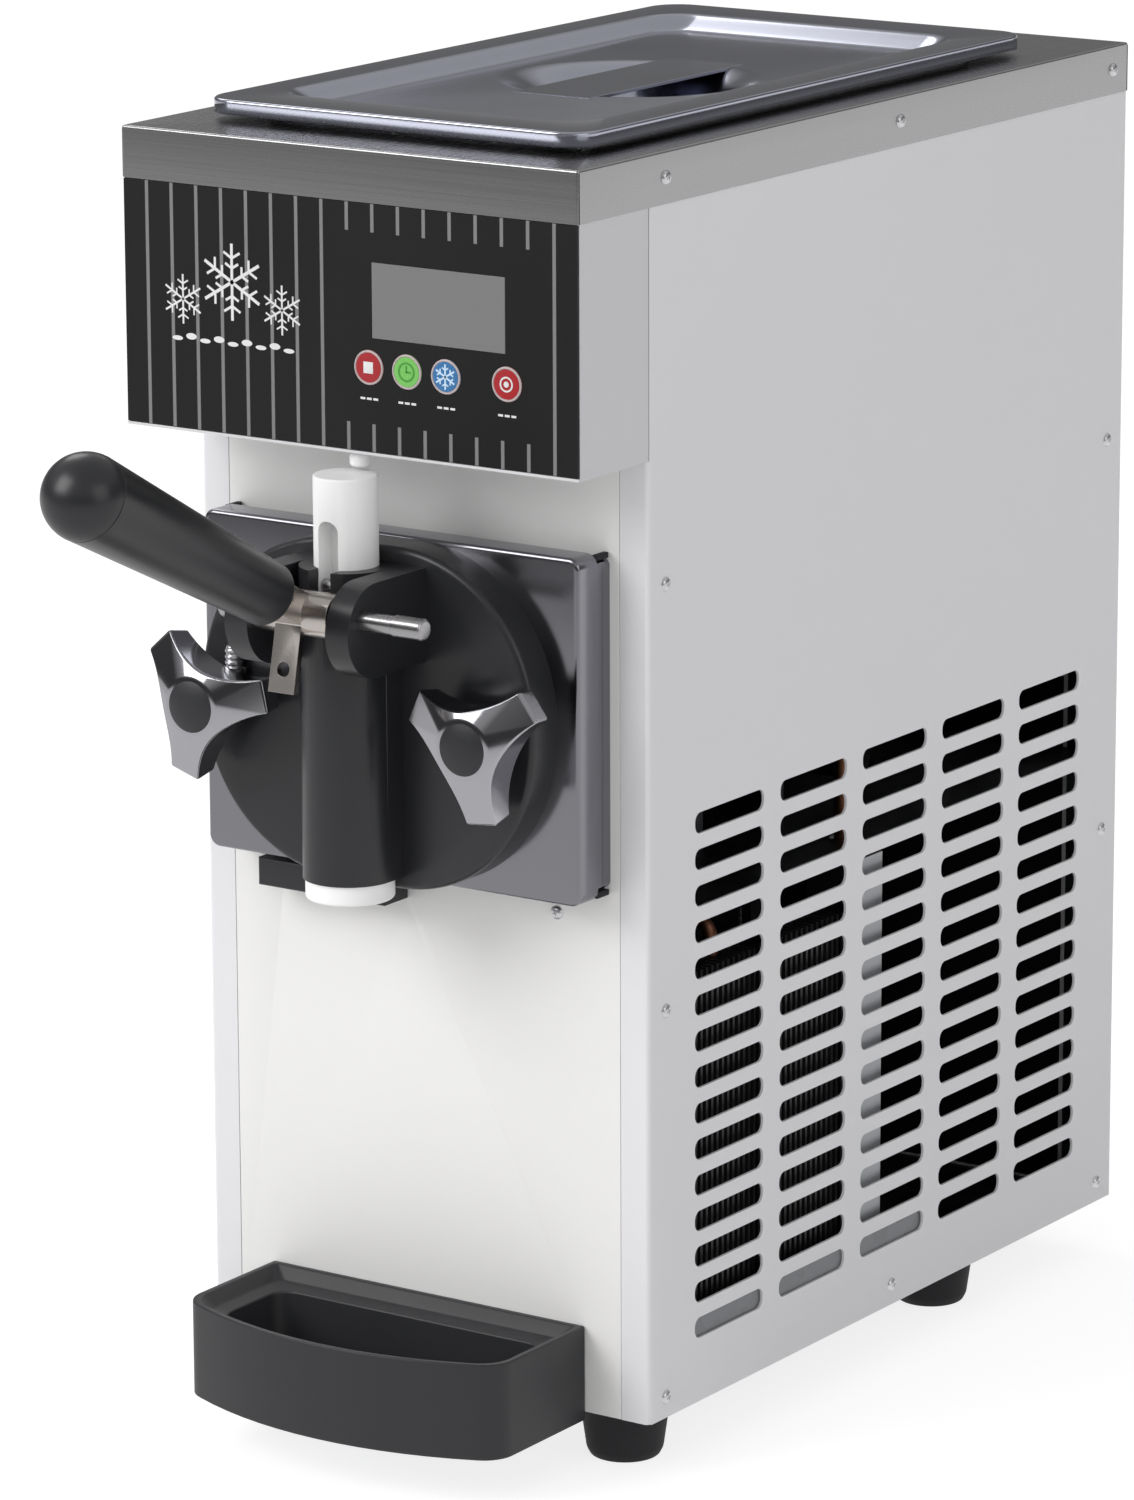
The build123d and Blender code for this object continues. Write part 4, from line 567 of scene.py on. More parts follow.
def turned(profile, steps):
    """A solid of revolution about Z. Each point is a radius, a height and the rounding of that corner."""
    bm = bmesh.new()
    verts = [bm.verts.new((radius, 0, height)) for radius, height, _ in profile]
    for first, second in zip(verts, verts[1:]):
        bm.edges.new((first, second))
    for vert, (_, _, rounding) in zip(verts, profile):
        if rounding:
            bevelled(bm, [vert], rounding, 6, "VERTICES")
    bmesh.ops.spin(bm, geom=bm.verts[:] + bm.edges[:], axis=(0, 0, 1), angle=tau, steps=steps,
                   use_merge=True)
    bmesh.ops.remove_doubles(bm, verts=bm.verts, dist=1e-4)
    bmesh.ops.recalc_face_normals(bm, faces=bm.faces)
    return bm


def bar(size, edge=0.0, segments=2):
    """A box about the origin with rounded edges."""
    bm = bmesh.new()
    bmesh.ops.create_cube(bm, size=1.0)
    bmesh.ops.scale(bm, vec=size, verts=bm.verts)
    if edge:
        bevelled(bm, bm.edges[:], edge, segments)
    return bm


def spanning(low, high, edge=0.0, segments=2):
    """A rounded box between two corners."""
    low, high = Vector(low), Vector(high)
    bm = bar(high - low, edge, segments)
    bmesh.ops.translate(bm, vec=(low + high) / 2, verts=bm.verts)
    return bm


def edges_of(verts):
    return list({edge: None for vert in verts for edge in vert.link_edges})


CORNER_STEPS = 8
OVAL_STEPS = 60
SAME_LEVEL = 1e-3


def rounded_loop(bm, width, depth, corner, level, centre=(0, 0)):
    """The edges of a rounded rectangle at one level."""
    made = bmesh.ops.create_grid(bm, x_segments=1, y_segments=1, size=0.5)["verts"]
    bmesh.ops.scale(bm, vec=(width, depth, 1), verts=made)
    bmesh.ops.translate(bm, vec=(*centre, level), verts=made)
    bevelled(bm, made, corner, CORNER_STEPS, "VERTICES")
    face = next(f for f in bm.faces if len(f.verts) == 4 * (CORNER_STEPS + 1)
                and abs(f.calc_center_median().z - level) < SAME_LEVEL)
    edges = face.edges[:]
    bmesh.ops.delete(bm, geom=[face], context="FACES_ONLY")
    return edges


def oval_loop(bm, half_x, half_y, level, centre):
    """The edges of an oval at one level."""
    made = bmesh.ops.create_circle(bm, segments=OVAL_STEPS, radius=1.0)["verts"]
    bmesh.ops.scale(bm, vec=(half_x, half_y, 1), verts=made)
    bmesh.ops.translate(bm, vec=(*centre, level), verts=made)
    return edges_of(made)


def skinned(bm, loops, *caps):
    """Faces between each loop of edges and the next, and across the caps."""
    for first, second in zip(loops, loops[1:]):
        bmesh.ops.bridge_loops(bm, edges=first + second)
    for cap in caps:
        bmesh.ops.contextual_create(bm, geom=cap)
    bmesh.ops.recalc_face_normals(bm, faces=bm.faces)


def extruded(bm, edges):
    """The corners and the edges of a new row that starts from these edges."""
    geom = bmesh.ops.extrude_edge_only(bm, edges=edges)["geom"]
    return [[one for one in geom if isinstance(one, kind)] for kind in (bmesh.types.BMVert, bmesh.types.BMEdge)]


def at(x, y, z):
    return Matrix.Translation((x, y, z))


def facing(x, y, z):
    """Places a shape made about Z so that its top looks out of the front."""
    return at(x, y, z) @ FACING_FRONT


def spun(angle):
    return Matrix.Rotation(radians(angle), 4, "Z")


def polar(radius, angle):
    return spun(angle) @ Vector((radius, 0, 0))


# Pieces, in millimetres and degrees

SHEET_EDGE = 0.3
HEAD_EDGE = 0.45
FOLD_RADIUS = 1.9
AT_FOLD = 0.02
SEAM_FROM_END = 0.7
PLATE_PAN_DEPTH = 13.0
PLATE_GAP = 0.8
PLATE_CORE_INSET = 3.0
PLATE_CORNER_BAR = 2.4


def seams():
    """Fine dark seams down the corners of the cap's folded skirt and behind the head's sides."""
    low, high = local_box("top_cover")
    rise = high.z - low.z - 1.2
    bm = bmesh.new()
    for side in SIDES:
        for y in (low.y + SEAM_FROM_END, high.y - SEAM_FROM_END):
            spot = (side * high.x, y, low.z + rise / 2 + 0.1)
            joined(bm, bar((0.16, 0.5, rise), 0.04), at(*spot))
    low, high = local_box("head_housing")
    for side in SIDES:
        spot = (side * (high.x - 0.4), high.y + 0.2, (low.z + high.z) / 2)
        joined(bm, bar((0.5, 0.8, high.z - low.z), 0.1), at(*spot))
    piece("case_seams", bm, "machine", ["black_rubber"])


def cylinder_plate():
    """A folded front pan, a narrow shadow gap, and the flange behind it, open at its corners; black pieces in the
    gap and the corners are painted shade.
    """
    low, high = local_box("cylinder_plate")
    middle = (low + high) / 2
    half_x, half_z = (high.x - low.x) / 2, (high.z - low.z) / 2
    split = low.y + PLATE_PAN_DEPTH
    bm = bmesh.new()
    pan(bm, 2 * half_x, 2 * half_z, 5.0, low.y, split, 1.7)
    pan(bm, 2 * half_x - 1.6, 2 * half_z - 7.0, 3.0, split + PLATE_GAP, high.y, 0.6)
    core_x, core_z = half_x - PLATE_CORE_INSET, half_z - PLATE_CORE_INSET
    # Painted shade: a black core seen through the gap, and black bars in the open corners.
    joined(bm, spanning((-core_x, split - 1, -core_z), (core_x, high.y - 1, core_z)), material=1)
    for x in SIDES:
        for z in SIDES:
            corner = bar((PLATE_CORNER_BAR, high.y - split - 1.5, PLATE_CORNER_BAR), 0.3)
            spot = (x * (half_x - 2.0), (split + high.y) / 2, z * (half_z - 2.0))
            joined(bm, corner, at(*spot), 1)
    piece("cylinder_plate_shell", bm, "machine", ["plate_steel", "black_rubber"], ["cylinder_plate"],
          stand=at(middle.x, 0, middle.z))


def pan(bm, width, tall, corner, front, back, edge):
    """A shallow rounded pan that opens to the back."""
    part = bmesh.new()
    rear = rounded_loop(part, width, tall, corner, -back)
    rim = rounded_loop(part, width, tall, corner, -front)
    skinned(part, [rear, rim], rim)
    bevelled(part, rim, edge, 4)
    joined(bm, part, FACING_FRONT)


class SOFTSERVE_OT_case(bpy.types.Operator):
    """Panels, head box, cap and the box behind the dispensing door"""
    bl_idname = "softserve.case"
    bl_label = "Case"

    def execute(self, context):
        low, high = local_box("right_side_panel")

        def at_fold(spot):
            return abs(abs(spot.x) - high.x) < AT_FOLD and abs(spot.y - low.y) < AT_FOLD

        for node in ("left_side_panel", "right_side_panel"):
            softened(node, "side_paint", SHEET_EDGE, fold=at_fold, bend=FOLD_RADIUS)
        softened("rear_panel", "side_paint", SHEET_EDGE)
        softened("head_housing", "head_paint", HEAD_EDGE, 3)
        softened("front_panel", "front_paint", SHEET_EDGE)
        softened("top_cover", "cap_steel", SHEET_EDGE)
        seams()
        cylinder_plate()
        return {"FINISHED"}


SCREW_HEAD = 1.6
SCREW_SHANK_R = 2.0
SCREW_PROFILE = ((0, SCREW_HEAD, 0), (1.4, 1.5, 0.8), (2.6, 0.9, 0.7), (3.0, 0.0, 0), (0, -0.4, 0))
# The cross is not cut in: flat bars of darker steel, a little proud of the dome, are painted shade for the
# recess.
SLIT = (2.5, 0.5, 0.12)
SLIT_TURNS = (20, 110)


def seats():
    """Each screw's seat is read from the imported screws: the islands of the node's mesh."""
    bm = merged("case_screws")
    bmesh.ops.transform(bm, matrix=UNPLACE, verts=bm.verts)
    waiting = set(bm.verts)
    while waiting:
        island = {waiting.pop()}
        edge = set(island)
        while edge:
            edge = {e.other_vert(v) for v in edge for e in v.link_edges} - island
            island |= edge
        waiting -= island
        low, high = (Vector([end(v.co[i] for v in island) for i in range(3)]) for end in (min, max))
        middle = (low + high) / 2
        axis = max(range(3), key=lambda i: (high - low)[i])
        wide = [v.co[axis] for v in island
                if max(abs((v.co - middle)[i]) for i in range(3) if i != axis) > SCREW_SHANK_R]
        side = 1 if sum(wide) / len(wide) > middle[axis] else -1
        middle[axis] = (high if side > 0 else low)[axis] - side * SCREW_HEAD
        yield middle, Vector([side if i == axis else 0 for i in range(3)])
    bm.free()


class SOFTSERVE_OT_screws(bpy.types.Operator):
    """Domed screws of the case, their cross recess given as painted shade in darker steel"""
    bl_idname = "softserve.screws"
    bl_label = "Case screws"

    def execute(self, context):
        bm = bmesh.new()
        for seat, outward in seats():
            stand = at(*seat) @ outward.to_track_quat("Z", "Y").to_matrix().to_4x4()
            joined(bm, turned(SCREW_PROFILE, 24), stand)
            for turn in SLIT_TURNS:
                joined(bm, bar(SLIT), stand @ at(0, 0, SCREW_HEAD - 0.05) @ spun(turn), 1)
        piece("case_screw_heads", bm, "machine", ["screw_zinc", "pin_steel"], ["case_screws"])
        return {"FINISHED"}


LID_CORNER = 14.0
LID_SHEET = 1.2
LID_FALL = 6.0
LID_RIM_SIDE, LID_RIM_END = 16.0, 24.0
LID_WALL_SIDE, LID_WALL_END = 9.0, 17.0  # how far the recess's sloped walls run inwards
RECESS_CORNER, RECESS_CORNER_LOSS = 18.0, 9.0
CUP_FROM_FRONT = 172.5
CUP_HALF_X, CUP_HALF_Y = 57.0, 55.0
CUP_WALL, CUP_DEPTH = 36.0, 14.0
STRIP_HALF_X, STRIP_HALF_Y = 18.5, 58.0


def eased(steps):
    """Shares of a wall's run with the shares of its depth, soft at both ends."""
    for step in range(steps + 1):
        yield step / steps, 0.5 - 0.5 * cos(pi * step / steps)


class SOFTSERVE_OT_lid(bpy.types.Operator):
    """Pressed hopper lid with its finger cup, and the gasket and pan below it"""
    bl_idname = "softserve.lid"
    bl_label = "Hopper lid"

    def execute(self, context):
        low, high = local_box("hopper_lid")
        width, depth, top = high.x - low.x, high.y - low.y, high.z
        centre = (0, (low.y + high.y) / 2)
        floor = top - LID_FALL
        cup = (0, low.y + CUP_FROM_FRONT)
        bm = bmesh.new()
        loops = [rounded_loop(bm, width, depth, LID_CORNER, level, centre) for level in (floor, top)]
        for run, sunk in eased(8):
            inner_x = width - 2 * (LID_RIM_SIDE + LID_WALL_SIDE * run)
            inner_y = depth - 2 * (LID_RIM_END + LID_WALL_END * run)
            corner = RECESS_CORNER - RECESS_CORNER_LOSS * run
            loops.append(rounded_loop(bm, inner_x, inner_y, corner, top - LID_FALL * sunk, centre))
        for run, sunk in eased(10):
            half_x, half_y = CUP_HALF_X - CUP_WALL * run, CUP_HALF_Y - CUP_WALL * run
            loops.append(oval_loop(bm, half_x, half_y, floor - CUP_DEPTH * sunk, cup))
        skinned(bm, loops, loops[-1])
        if sum(face.normal.z * face.calc_area() for face in bm.faces) < 0:
            bmesh.ops.reverse_faces(bm, faces=bm.faces)
        made = piece("hopper_lid_pressing", bm, "lid", ["lid_steel"], ["hopper_lid"], 60.0)
        rounded_edges(made, sizes().lid_round / MM, 4, 18.0)
        wall = made.modifiers.new("Sheet", "SOLIDIFY")
        wall.thickness = LID_SHEET * MM
        strip = spanning((-STRIP_HALF_X, cup[1] - STRIP_HALF_Y, floor - LID_SHEET),
                         (STRIP_HALF_X, cup[1] + STRIP_HALF_Y, floor + 0.15), 0.12, 1)
        piece("hopper_lid_strip", strip, "lid", ["lid_steel"])
        dress("black_rubber", "hopper_gasket")
        dress("pan_steel", "hopper_pan")
        dress("white_plastic", "feed_tube")
        return {"FINISHED"}


# Marks on the buttons, at one level about the button's axis
MARK = 2  # their place among the button's finishes


def ring_mark(bm, level, inner, outer):
    corners = ((inner, -0.05), (inner, 0.05), (outer, 0.05), (outer, -0.05), (inner, -0.05))
    joined(bm, turned([(*corner, 0) for corner in corners], 36), at(0, 0, level), MARK)


def square_mark(bm, level):
    joined(bm, bar((4.6, 4.6, 0.12), 0.04), at(0, 0, level), MARK)


def clock_mark(bm, level):
    ring_mark(bm, level, 3.2, 3.9)
    for size, place in (((0.7, 2.8, 0.1), (0, 1.2, level)), ((2.2, 0.7, 0.1), (0.9, 0, level))):
        joined(bm, bar(size), at(*place), MARK)


def dot_mark(bm, level):
    ring_mark(bm, level, 2.4, 3.1)
    dot = turned([(0, 0.06, 0), (1.2, 0.06, 0), (1.2, -0.05, 0), (0, -0.05, 0)], 24)
    joined(bm, dot, at(0, 0, level), MARK)


def flake_mark(bm, level, reach=5.0, width=0.75, twigs=((0.55, 0.34),), material=MARK, thick=0.12):
    """A six-armed ice crystal with a pair of twigs at each station of every arm."""
    for step in range(6):
        arm = at(0, 0, level) @ spun(60 * step + 30)
        joined(bm, bar((reach, width, thick)), arm @ at(reach / 2, 0, 0), material)
        for station, share in twigs:
            for side in SIDES:
                twig = arm @ at(reach * station, 0, 0) @ spun(60 * side)
                joined(bm, bar((reach * share, width * 0.8, thick * 0.96)),
                       twig @ at(reach * share / 2, 0, 0), material)


BUTTONS = (  # node, body, cap, mark, the mark's finish
    ("stop_button", "stop_key", "red_cap", square_mark, "white_print"),
    ("clean_button", "clean_key", "green_cap", clock_mark, "deep_green"),
    ("cool_button", "cool_key", "blue_cap", flake_mark, "pale_blue"),
    ("set_button", "set_key", "red_cap", dot_mark, "white_print"),
)
BUTTON_RING_R = 5.95
BUTTON_RING_DEPTH = 0.6
MARK_DEPTH = 0.06
PRINT_THICK = 0.06
CRYSTALS = ((-56, 461, 15.5), (-80.5, 452, 10.0), (-31.5, 452, 10.0))  # x, z, reach
CRYSTAL_TWIGS = ((0.36, 0.24), (0.62, 0.30))
DROPS, DROP_FIRST, DROP_PITCH, DROP_Z = 9, -83.5, 6.9, 436.0
WORD_BAR, WORD_PITCH, WORD_BELOW = (2.3, 0.9, PRINT_THICK), 3.1, 3.9


def plunger():
    """Start plunger with a domed head under a narrower neck."""
    low, high = local_box("start_plunger")
    tall = high.z - low.z
    rod = turned([(0, 0, 0), (4.2, 0.0, 1.6), (4.2, 5.0, 1.2), (3.3, 5.6, 0.2), (3.3, 8.5, 0),
                  (5.6, 8.5, 0.2), (5.6, 10.3, 0.2), (4.0, 10.3, 0), (4.0, tall, 0.4), (0, tall, 0)], 40)
    stand = at((low.x + high.x) / 2, (low.y + high.y) / 2, low.z)
    piece("start_plunger_turned", rod, "plunger", ["white_plastic"], ["start_plunger"], 50.0,
          stand)


def button(name, body, cap, mark, sign):
    """A flanged cap with a pale ring, a fine groove inside it, and a mark."""
    low, high = local_box(name)
    depth = high.y - low.y
    bm = turned([
        (0, depth - 0.1, 0), (5.9, depth - 0.15, 0), (6.0, depth - 0.35, 0.05), (6.15, depth - 0.35, 0.05),
        (6.25, depth - 0.02, 0.1), (6.75, depth - 0.05, 0.15), (7.0, depth - 0.4, 0.15),
        (7.0, 1.5, 0.1), (8.6, 1.5, 0.2), (8.6, 0, 0.2), (0, 0, 0)], 48)
    for face in bm.faces:
        spot = face.calc_center_median()
        ring = spot.z > depth - BUTTON_RING_DEPTH and spot.xy.length > BUTTON_RING_R
        face.material_index = 1 if ring else 0
    mark(bm, depth - MARK_DEPTH)
    stand = facing((low.x + high.x) / 2, high.y, (low.z + high.z) / 2)
    piece(name + "_cap", bm, body, [cap, "pale_ring", sign], [name], stand=stand)


def figures():
    """Printed ice crystals over a row of dots, and short bars under each button."""
    face = local_box("control_panel")[0].y
    bm = bmesh.new()
    for x, z, reach in CRYSTALS:
        crystal = bmesh.new()
        flake_mark(crystal, 0.0, reach, reach * 0.085, CRYSTAL_TWIGS, 0, PRINT_THICK)
        joined(bm, crystal, facing(x, face, z))
    for step in range(DROPS):
        drop = turned([(0, 0.03, 0), (1.5, 0.03, 0), (1.5, -0.03, 0), (0, -0.03, 0)], 24)
        odd = step % 2
        bmesh.ops.scale(drop, vec=(1.75, 0.62 + 0.25 * odd, 1), verts=drop.verts)
        joined(bm, drop, facing(DROP_FIRST + step * DROP_PITCH, face, DROP_Z + 1.2 * odd))
    for name, *_ in BUTTONS:
        low, high = local_box(name)
        for step in (-1, 0, 1):
            x = (low.x + high.x) / 2 + WORD_PITCH * step
            joined(bm, bar(WORD_BAR), facing(x, face, low.z - WORD_BELOW))
    piece("panel_print", bm, "machine", ["white_print"])


class SOFTSERVE_OT_controls(bpy.types.Operator):
    """Control panel, display, buttons and the printed figures"""
    bl_idname = "softserve.controls"
    bl_label = "Controls"

    def execute(self, context):
        dress("striped_film", "control_panel")
        softened("display_window", "display_glass", 0.25)
        for row in BUTTONS:
            button(*row)
        figures()
        dress("circuit_board", "control_board")
        plunger()
        return {"FINISHED"}


BLEED_X, BLEED_Z = -61.5, 300.5
BLEED_R, BLEED_RIB_R, BLEED_HEIGHT = 3.3, 3.8, 11.2
BLEED_RIBS, BLEED_PITCH = 4, 2.4


def bleed_screw():
    """Small ribbed screw that stands on a lug of the door above the left stud."""
    face = local_box("dispense_door")[1].y - 17.0
    profile = [(0, 0, 0), (BLEED_R, 0, 0.2)]
    for rib in range(BLEED_RIBS):
        for radius, height in ((BLEED_R, 1.0), (BLEED_RIB_R, 1.4), (BLEED_RIB_R, 2.4), (BLEED_R, 2.8)):
            profile.append((radius, height + BLEED_PITCH * rib, 0.2))
    profile += [(BLEED_R, BLEED_HEIGHT, 0.5), (0, BLEED_HEIGHT, 0)]
    bm = turned(profile, 36)
    bmesh.ops.translate(bm, vec=(BLEED_X, face - 4.0, BLEED_Z), verts=bm.verts)
    lug = spanning((BLEED_X - 5, face - 3.4, BLEED_Z - 0.3), (BLEED_X + 5, face + 1.0, BLEED_Z + 2.5), 0.5)
    joined(bm, lug, material=1)
    piece("bleed_screw", bm, "machine", ["screw_zinc", "black_plastic"])


class SOFTSERVE_OT_dispenser(bpy.types.Operator):
    """Dispensing door, piston, nozzle and what holds them"""
    bl_idname = "softserve.dispenser"
    bl_label = "Dispensing head"

    def execute(self, context):
        softened("dispense_door", "shiny_black_plastic", 0.9, 3)
        softened("valve_piston", "white_plastic", 0.5, 3)
        softened("outlet_nozzle", "white_plastic", 0.5)
        dress("pin_steel", "piston_pin")
        dress("black_rubber", "piston_seals", "door_gasket")
        softened("door_studs", "pin_steel", 0.4)
        bleed_screw()
        return {"FINISHED"}


LEVER_PIVOT = Vector((0, -33.0, 340.0))
GRIP_BALL_R = 17.5
GRIP_START = 24.0
GRIP_ARC = 14


class SOFTSERVE_OT_lever(bpy.types.Operator):
    """Lever arm, pivot pin and the turned grip"""
    bl_idname = "softserve.lever"
    bl_label = "Lever"

    def execute(self, context):
        softened("lever_arm", "lever_steel", 0.7, 3)
        softened("pivot_pin", "pin_steel", 0.3)
        low, high = local_box("lever_grip")
        ball, start = GRIP_BALL_R, GRIP_START
        along = Vector((0, low.y + ball, high.z - ball)) - LEVER_PIVOT
        reach = along.length
        profile = [(5.1, start + 6, 0), (5.1, start, 0.3), (13.0, start, 1.8), (13.4, start + 12, 0),
                   (ball - 0.05, reach - 0.7, 0), (ball - 0.45, reach - 0.35, 0), (ball, reach, 0)]
        for step in range(1, GRIP_ARC + 1):
            angle = pi / 2 * step / GRIP_ARC
            profile.append((ball * cos(angle), reach + ball * sin(angle), 0))
        grip = turned(profile, 72)
        stand = at(*LEVER_PIVOT) @ along.to_track_quat("Z", "X").to_matrix().to_4x4()
        piece("lever_grip_turned", grip, "lever", ["shiny_black_plastic"], ["lever_grip"], 50.0,
              stand)
        return {"FINISHED"}


KNOB_TURNS = {"left": 12.0, "right": 36.0}
KNOB_FACE, KNOB_BACK, KNOB_TIP_FACE = 18.0, -1.0, 10.0
KNOB_HUB_R, KNOB_LIP, KNOB_STEM_R = 12.9, 1.3, 10.0
KNOB_TAPER = 0.93
KNOB_ARC = 14


def star_outline(turn, reach, tip, waist):
    """Three blunt tips with hollow arcs between them."""
    half = degrees(asin(tip / reach))
    bm = bmesh.new()
    for step in range(3):
        middle = turn + 120 * step
        first, second = polar(reach, middle - half), polar(reach, middle + half)
        onward = polar(reach, middle + 120 - half)
        ends = [bm.verts.new(first), bm.verts.new(second)]
        bm.edges.new(ends)
        chord = (onward - second).length / 2
        sink = (second + onward).length / 2 - waist
        radius = (chord * chord + sink * sink) / (2 * sink)
        bmesh.ops.spin(bm, geom=[ends[1]], cent=polar(waist + radius, middle + 60), axis=(0, 0, -1),
                       angle=2 * asin(min(1.0, chord / radius)), steps=KNOB_ARC)
    bmesh.ops.remove_doubles(bm, verts=bm.verts, dist=0.05)
    return bm


def star(side, turn):
    """Outline, tapered flank, sloped face, raised lip and stem; then the cap."""
    cap_low, cap_high = local_box(side + "_knob_cap")
    stem_end = -local_box(side + "_knob")[1].y
    stand = facing((cap_low.x + cap_high.x) / 2, 0, (cap_low.z + cap_high.z) / 2)
    size = sizes()
    reach = size.knob_reach / MM
    bm = star_outline(turn, reach, size.knob_tip / MM, size.knob_waist / MM)
    outline = bm.edges[:]
    lower, lower_edges = extruded(bm, outline)
    for vert in lower:
        vert.co.z = KNOB_BACK
        vert.co.xy *= KNOB_TAPER
    rim = {vert for edge in outline for vert in edge.verts}
    slope = (KNOB_FACE - KNOB_TIP_FACE) / (reach - KNOB_HUB_R)
    for vert in rim:
        vert.co.z = KNOB_FACE - (vert.co.xy.length - KNOB_HUB_R) * slope
    ring = bmesh.ops.create_circle(bm, segments=len(rim), radius=KNOB_HUB_R)["verts"]
    bmesh.ops.transform(bm, matrix=at(0, 0, KNOB_FACE) @ spun(turn), verts=ring)
    ring_edges = edges_of(ring)
    bmesh.ops.bridge_loops(bm, edges=outline + ring_edges)
    lip, lip_edges = extruded(bm, ring_edges)
    for vert in lip:
        vert.co.xy *= (KNOB_HUB_R - KNOB_LIP) / KNOB_HUB_R
        vert.co.z = KNOB_FACE + 0.5
    bmesh.ops.contextual_create(bm, geom=lip_edges)
    bmesh.ops.contextual_create(bm, geom=lower_edges)
    bmesh.ops.recalc_face_normals(bm, faces=bm.faces)
    stem_top = KNOB_BACK + 0.5
    joined(bm, turned([(0, stem_top, 0), (KNOB_STEM_R, stem_top, 0), (KNOB_STEM_R, stem_end, 0.4),
                       (0, stem_end, 0)], 48))
    made = piece(side + "_knob_star", bm, side + "_star", ["chrome"], [side + "_knob"], 28.0,
                 stand)
    rounded_edges(made, 1.1, 3, 28.0)
    proud, seat = -cap_low.y, -cap_high.y
    dome = turned([(0, proud, 0), (7.0, proud - 0.5, 3.0), (11.3, proud - 2.2, 1.2), (11.4, seat, 0),
                   (0, seat, 0)], 56)
    piece(side + "_knob_dome", dome, side + "_star", ["black_plastic"], [side + "_knob_cap"],
          50.0, stand)


class SOFTSERVE_OT_knobs(bpy.types.Operator):
    """Chrome star knobs with their black caps"""
    bl_idname = "softserve.knobs"
    bl_label = "Star knobs"

    def execute(self, context):
        for side, turn in KNOB_TURNS.items():
            star(side, turn)
        return {"FINISHED"}


TRAY_BOW = 19.0
TRAY_BOW_STEPS = 16
TRAY_FRONT_ROUND = 8.0
FOOT_R = 17.5


def tray():
    """Moulded tray: bowed front, soft rim, a sunk ledge and a rounded basin."""
    low, high = local_box("drip_tray")
    bm = bmesh.new()
    levels = (  # inset, level, rounding of the back corners
        (0.0, low.z, 0.8), (0.0, high.z, 0.8), (2.6, high.z, 1.6),
        (6.5, high.z - 5.6, 5), (12.0, high.z - 7.4, 8), (15.0, low.z + 3.0, 10),
    )
    loops = [tray_outline(bm, low, high, *level) for level in levels]
    skinned(bm, loops, loops[0], loops[-1])
    made = piece("drip_tray_moulded", bm, "tray", ["black_plastic"], ["drip_tray"], 40.0)
    rounded_edges(made, 1.5, 4, 24.0)


def tray_outline(bm, low, high, inset, level, back_round):
    """Edges of the tray's outline, moved inwards and rounded at its corners."""
    before = set(bm.edges)
    full = (high.x ** 2 + TRAY_BOW ** 2) / (2 * TRAY_BOW)
    radius, half = full - inset, high.x - inset
    sweep = asin(half / radius)
    verts = [bm.verts.new((side * half, high.y - inset, level)) for side in SIDES]
    for step in range(TRAY_BOW_STEPS + 1):
        angle = sweep * (1 - 2 * step / TRAY_BOW_STEPS)
        verts.append(bm.verts.new((radius * sin(angle), low.y + full - radius * cos(angle), level)))
    for first, second in zip(verts, verts[1:] + verts[:1]):
        bm.edges.new((first, second))
    bevelled(bm, verts[:2], back_round, 6, "VERTICES")
    bevelled(bm, [verts[2], verts[-1]], TRAY_FRONT_ROUND, 6, "VERTICES")
    return [edge for edge in bm.edges if edge not in before]


def feet():
    """Tapered rubber feet with a collar at the top and a hollow below."""
    low, high = local_box("feet")
    height = high.z - low.z
    profile = [(0, height, 0), (18.6, height, 0.5), (18.9, height - 2.4, 0.5), (18.4, height - 3.0, 0.3),
               (15.9, 3.2, 1.0), (14.2, 0.0, 1.0), (6.5, 0.0, 0.4), (5.5, 3.0, 0.4), (0, 3.0, 0)]
    bm = bmesh.new()
    for x in (low.x + FOOT_R, high.x - FOOT_R):
        for y in (low.y + FOOT_R, high.y - FOOT_R):
            joined(bm, turned(profile, 56), at(x, y, low.z))
    piece("rubber_feet", bm, "machine", ["black_rubber"], ["feet"], 40.0)


class SOFTSERVE_OT_tray(bpy.types.Operator):
    """Drip tray, its bracket, the leak drawer and the feet"""
    bl_idname = "softserve.tray"
    bl_label = "Tray, drawer and feet"

    def execute(self, context):
        tray()
        softened("leak_drawer", "black_plastic", 0.5)
        dress("zinc_sheet", "tray_bracket")
        feet()
        return {"FINISHED"}


SCREEN_FROM_WALL = 2.1
SCREEN_SHEET = 0.5


def screens():
    """Black screens behind the left vents, around the control box, and behind the rear vents: painted shade that
    keeps the inside dark.
    """
    wall = local_box("left_side_panel")[0].x + SCREEN_FROM_WALL
    rear = local_box("rear_panel")[0].y
    box = local_box("control_box")[0]
    bm = bmesh.new()
    for y0, y1, z0, z1 in ((73, box.y - 0.5, 37, 252), (box.y - 0.5, 398, 37, box.z - 0.5), (265, 398, 21, 36.5)):
        joined(bm, spanning((wall, y0, z0), (wall + SCREEN_SHEET, y1, z1), 0.1, 1))
    joined(bm, spanning((-84, rear - 0.6 - SCREEN_SHEET, 3), (84, rear - 0.6, 236), 0.1, 1))
    piece("shade_screens", bm, "machine", ["dust_screen"])


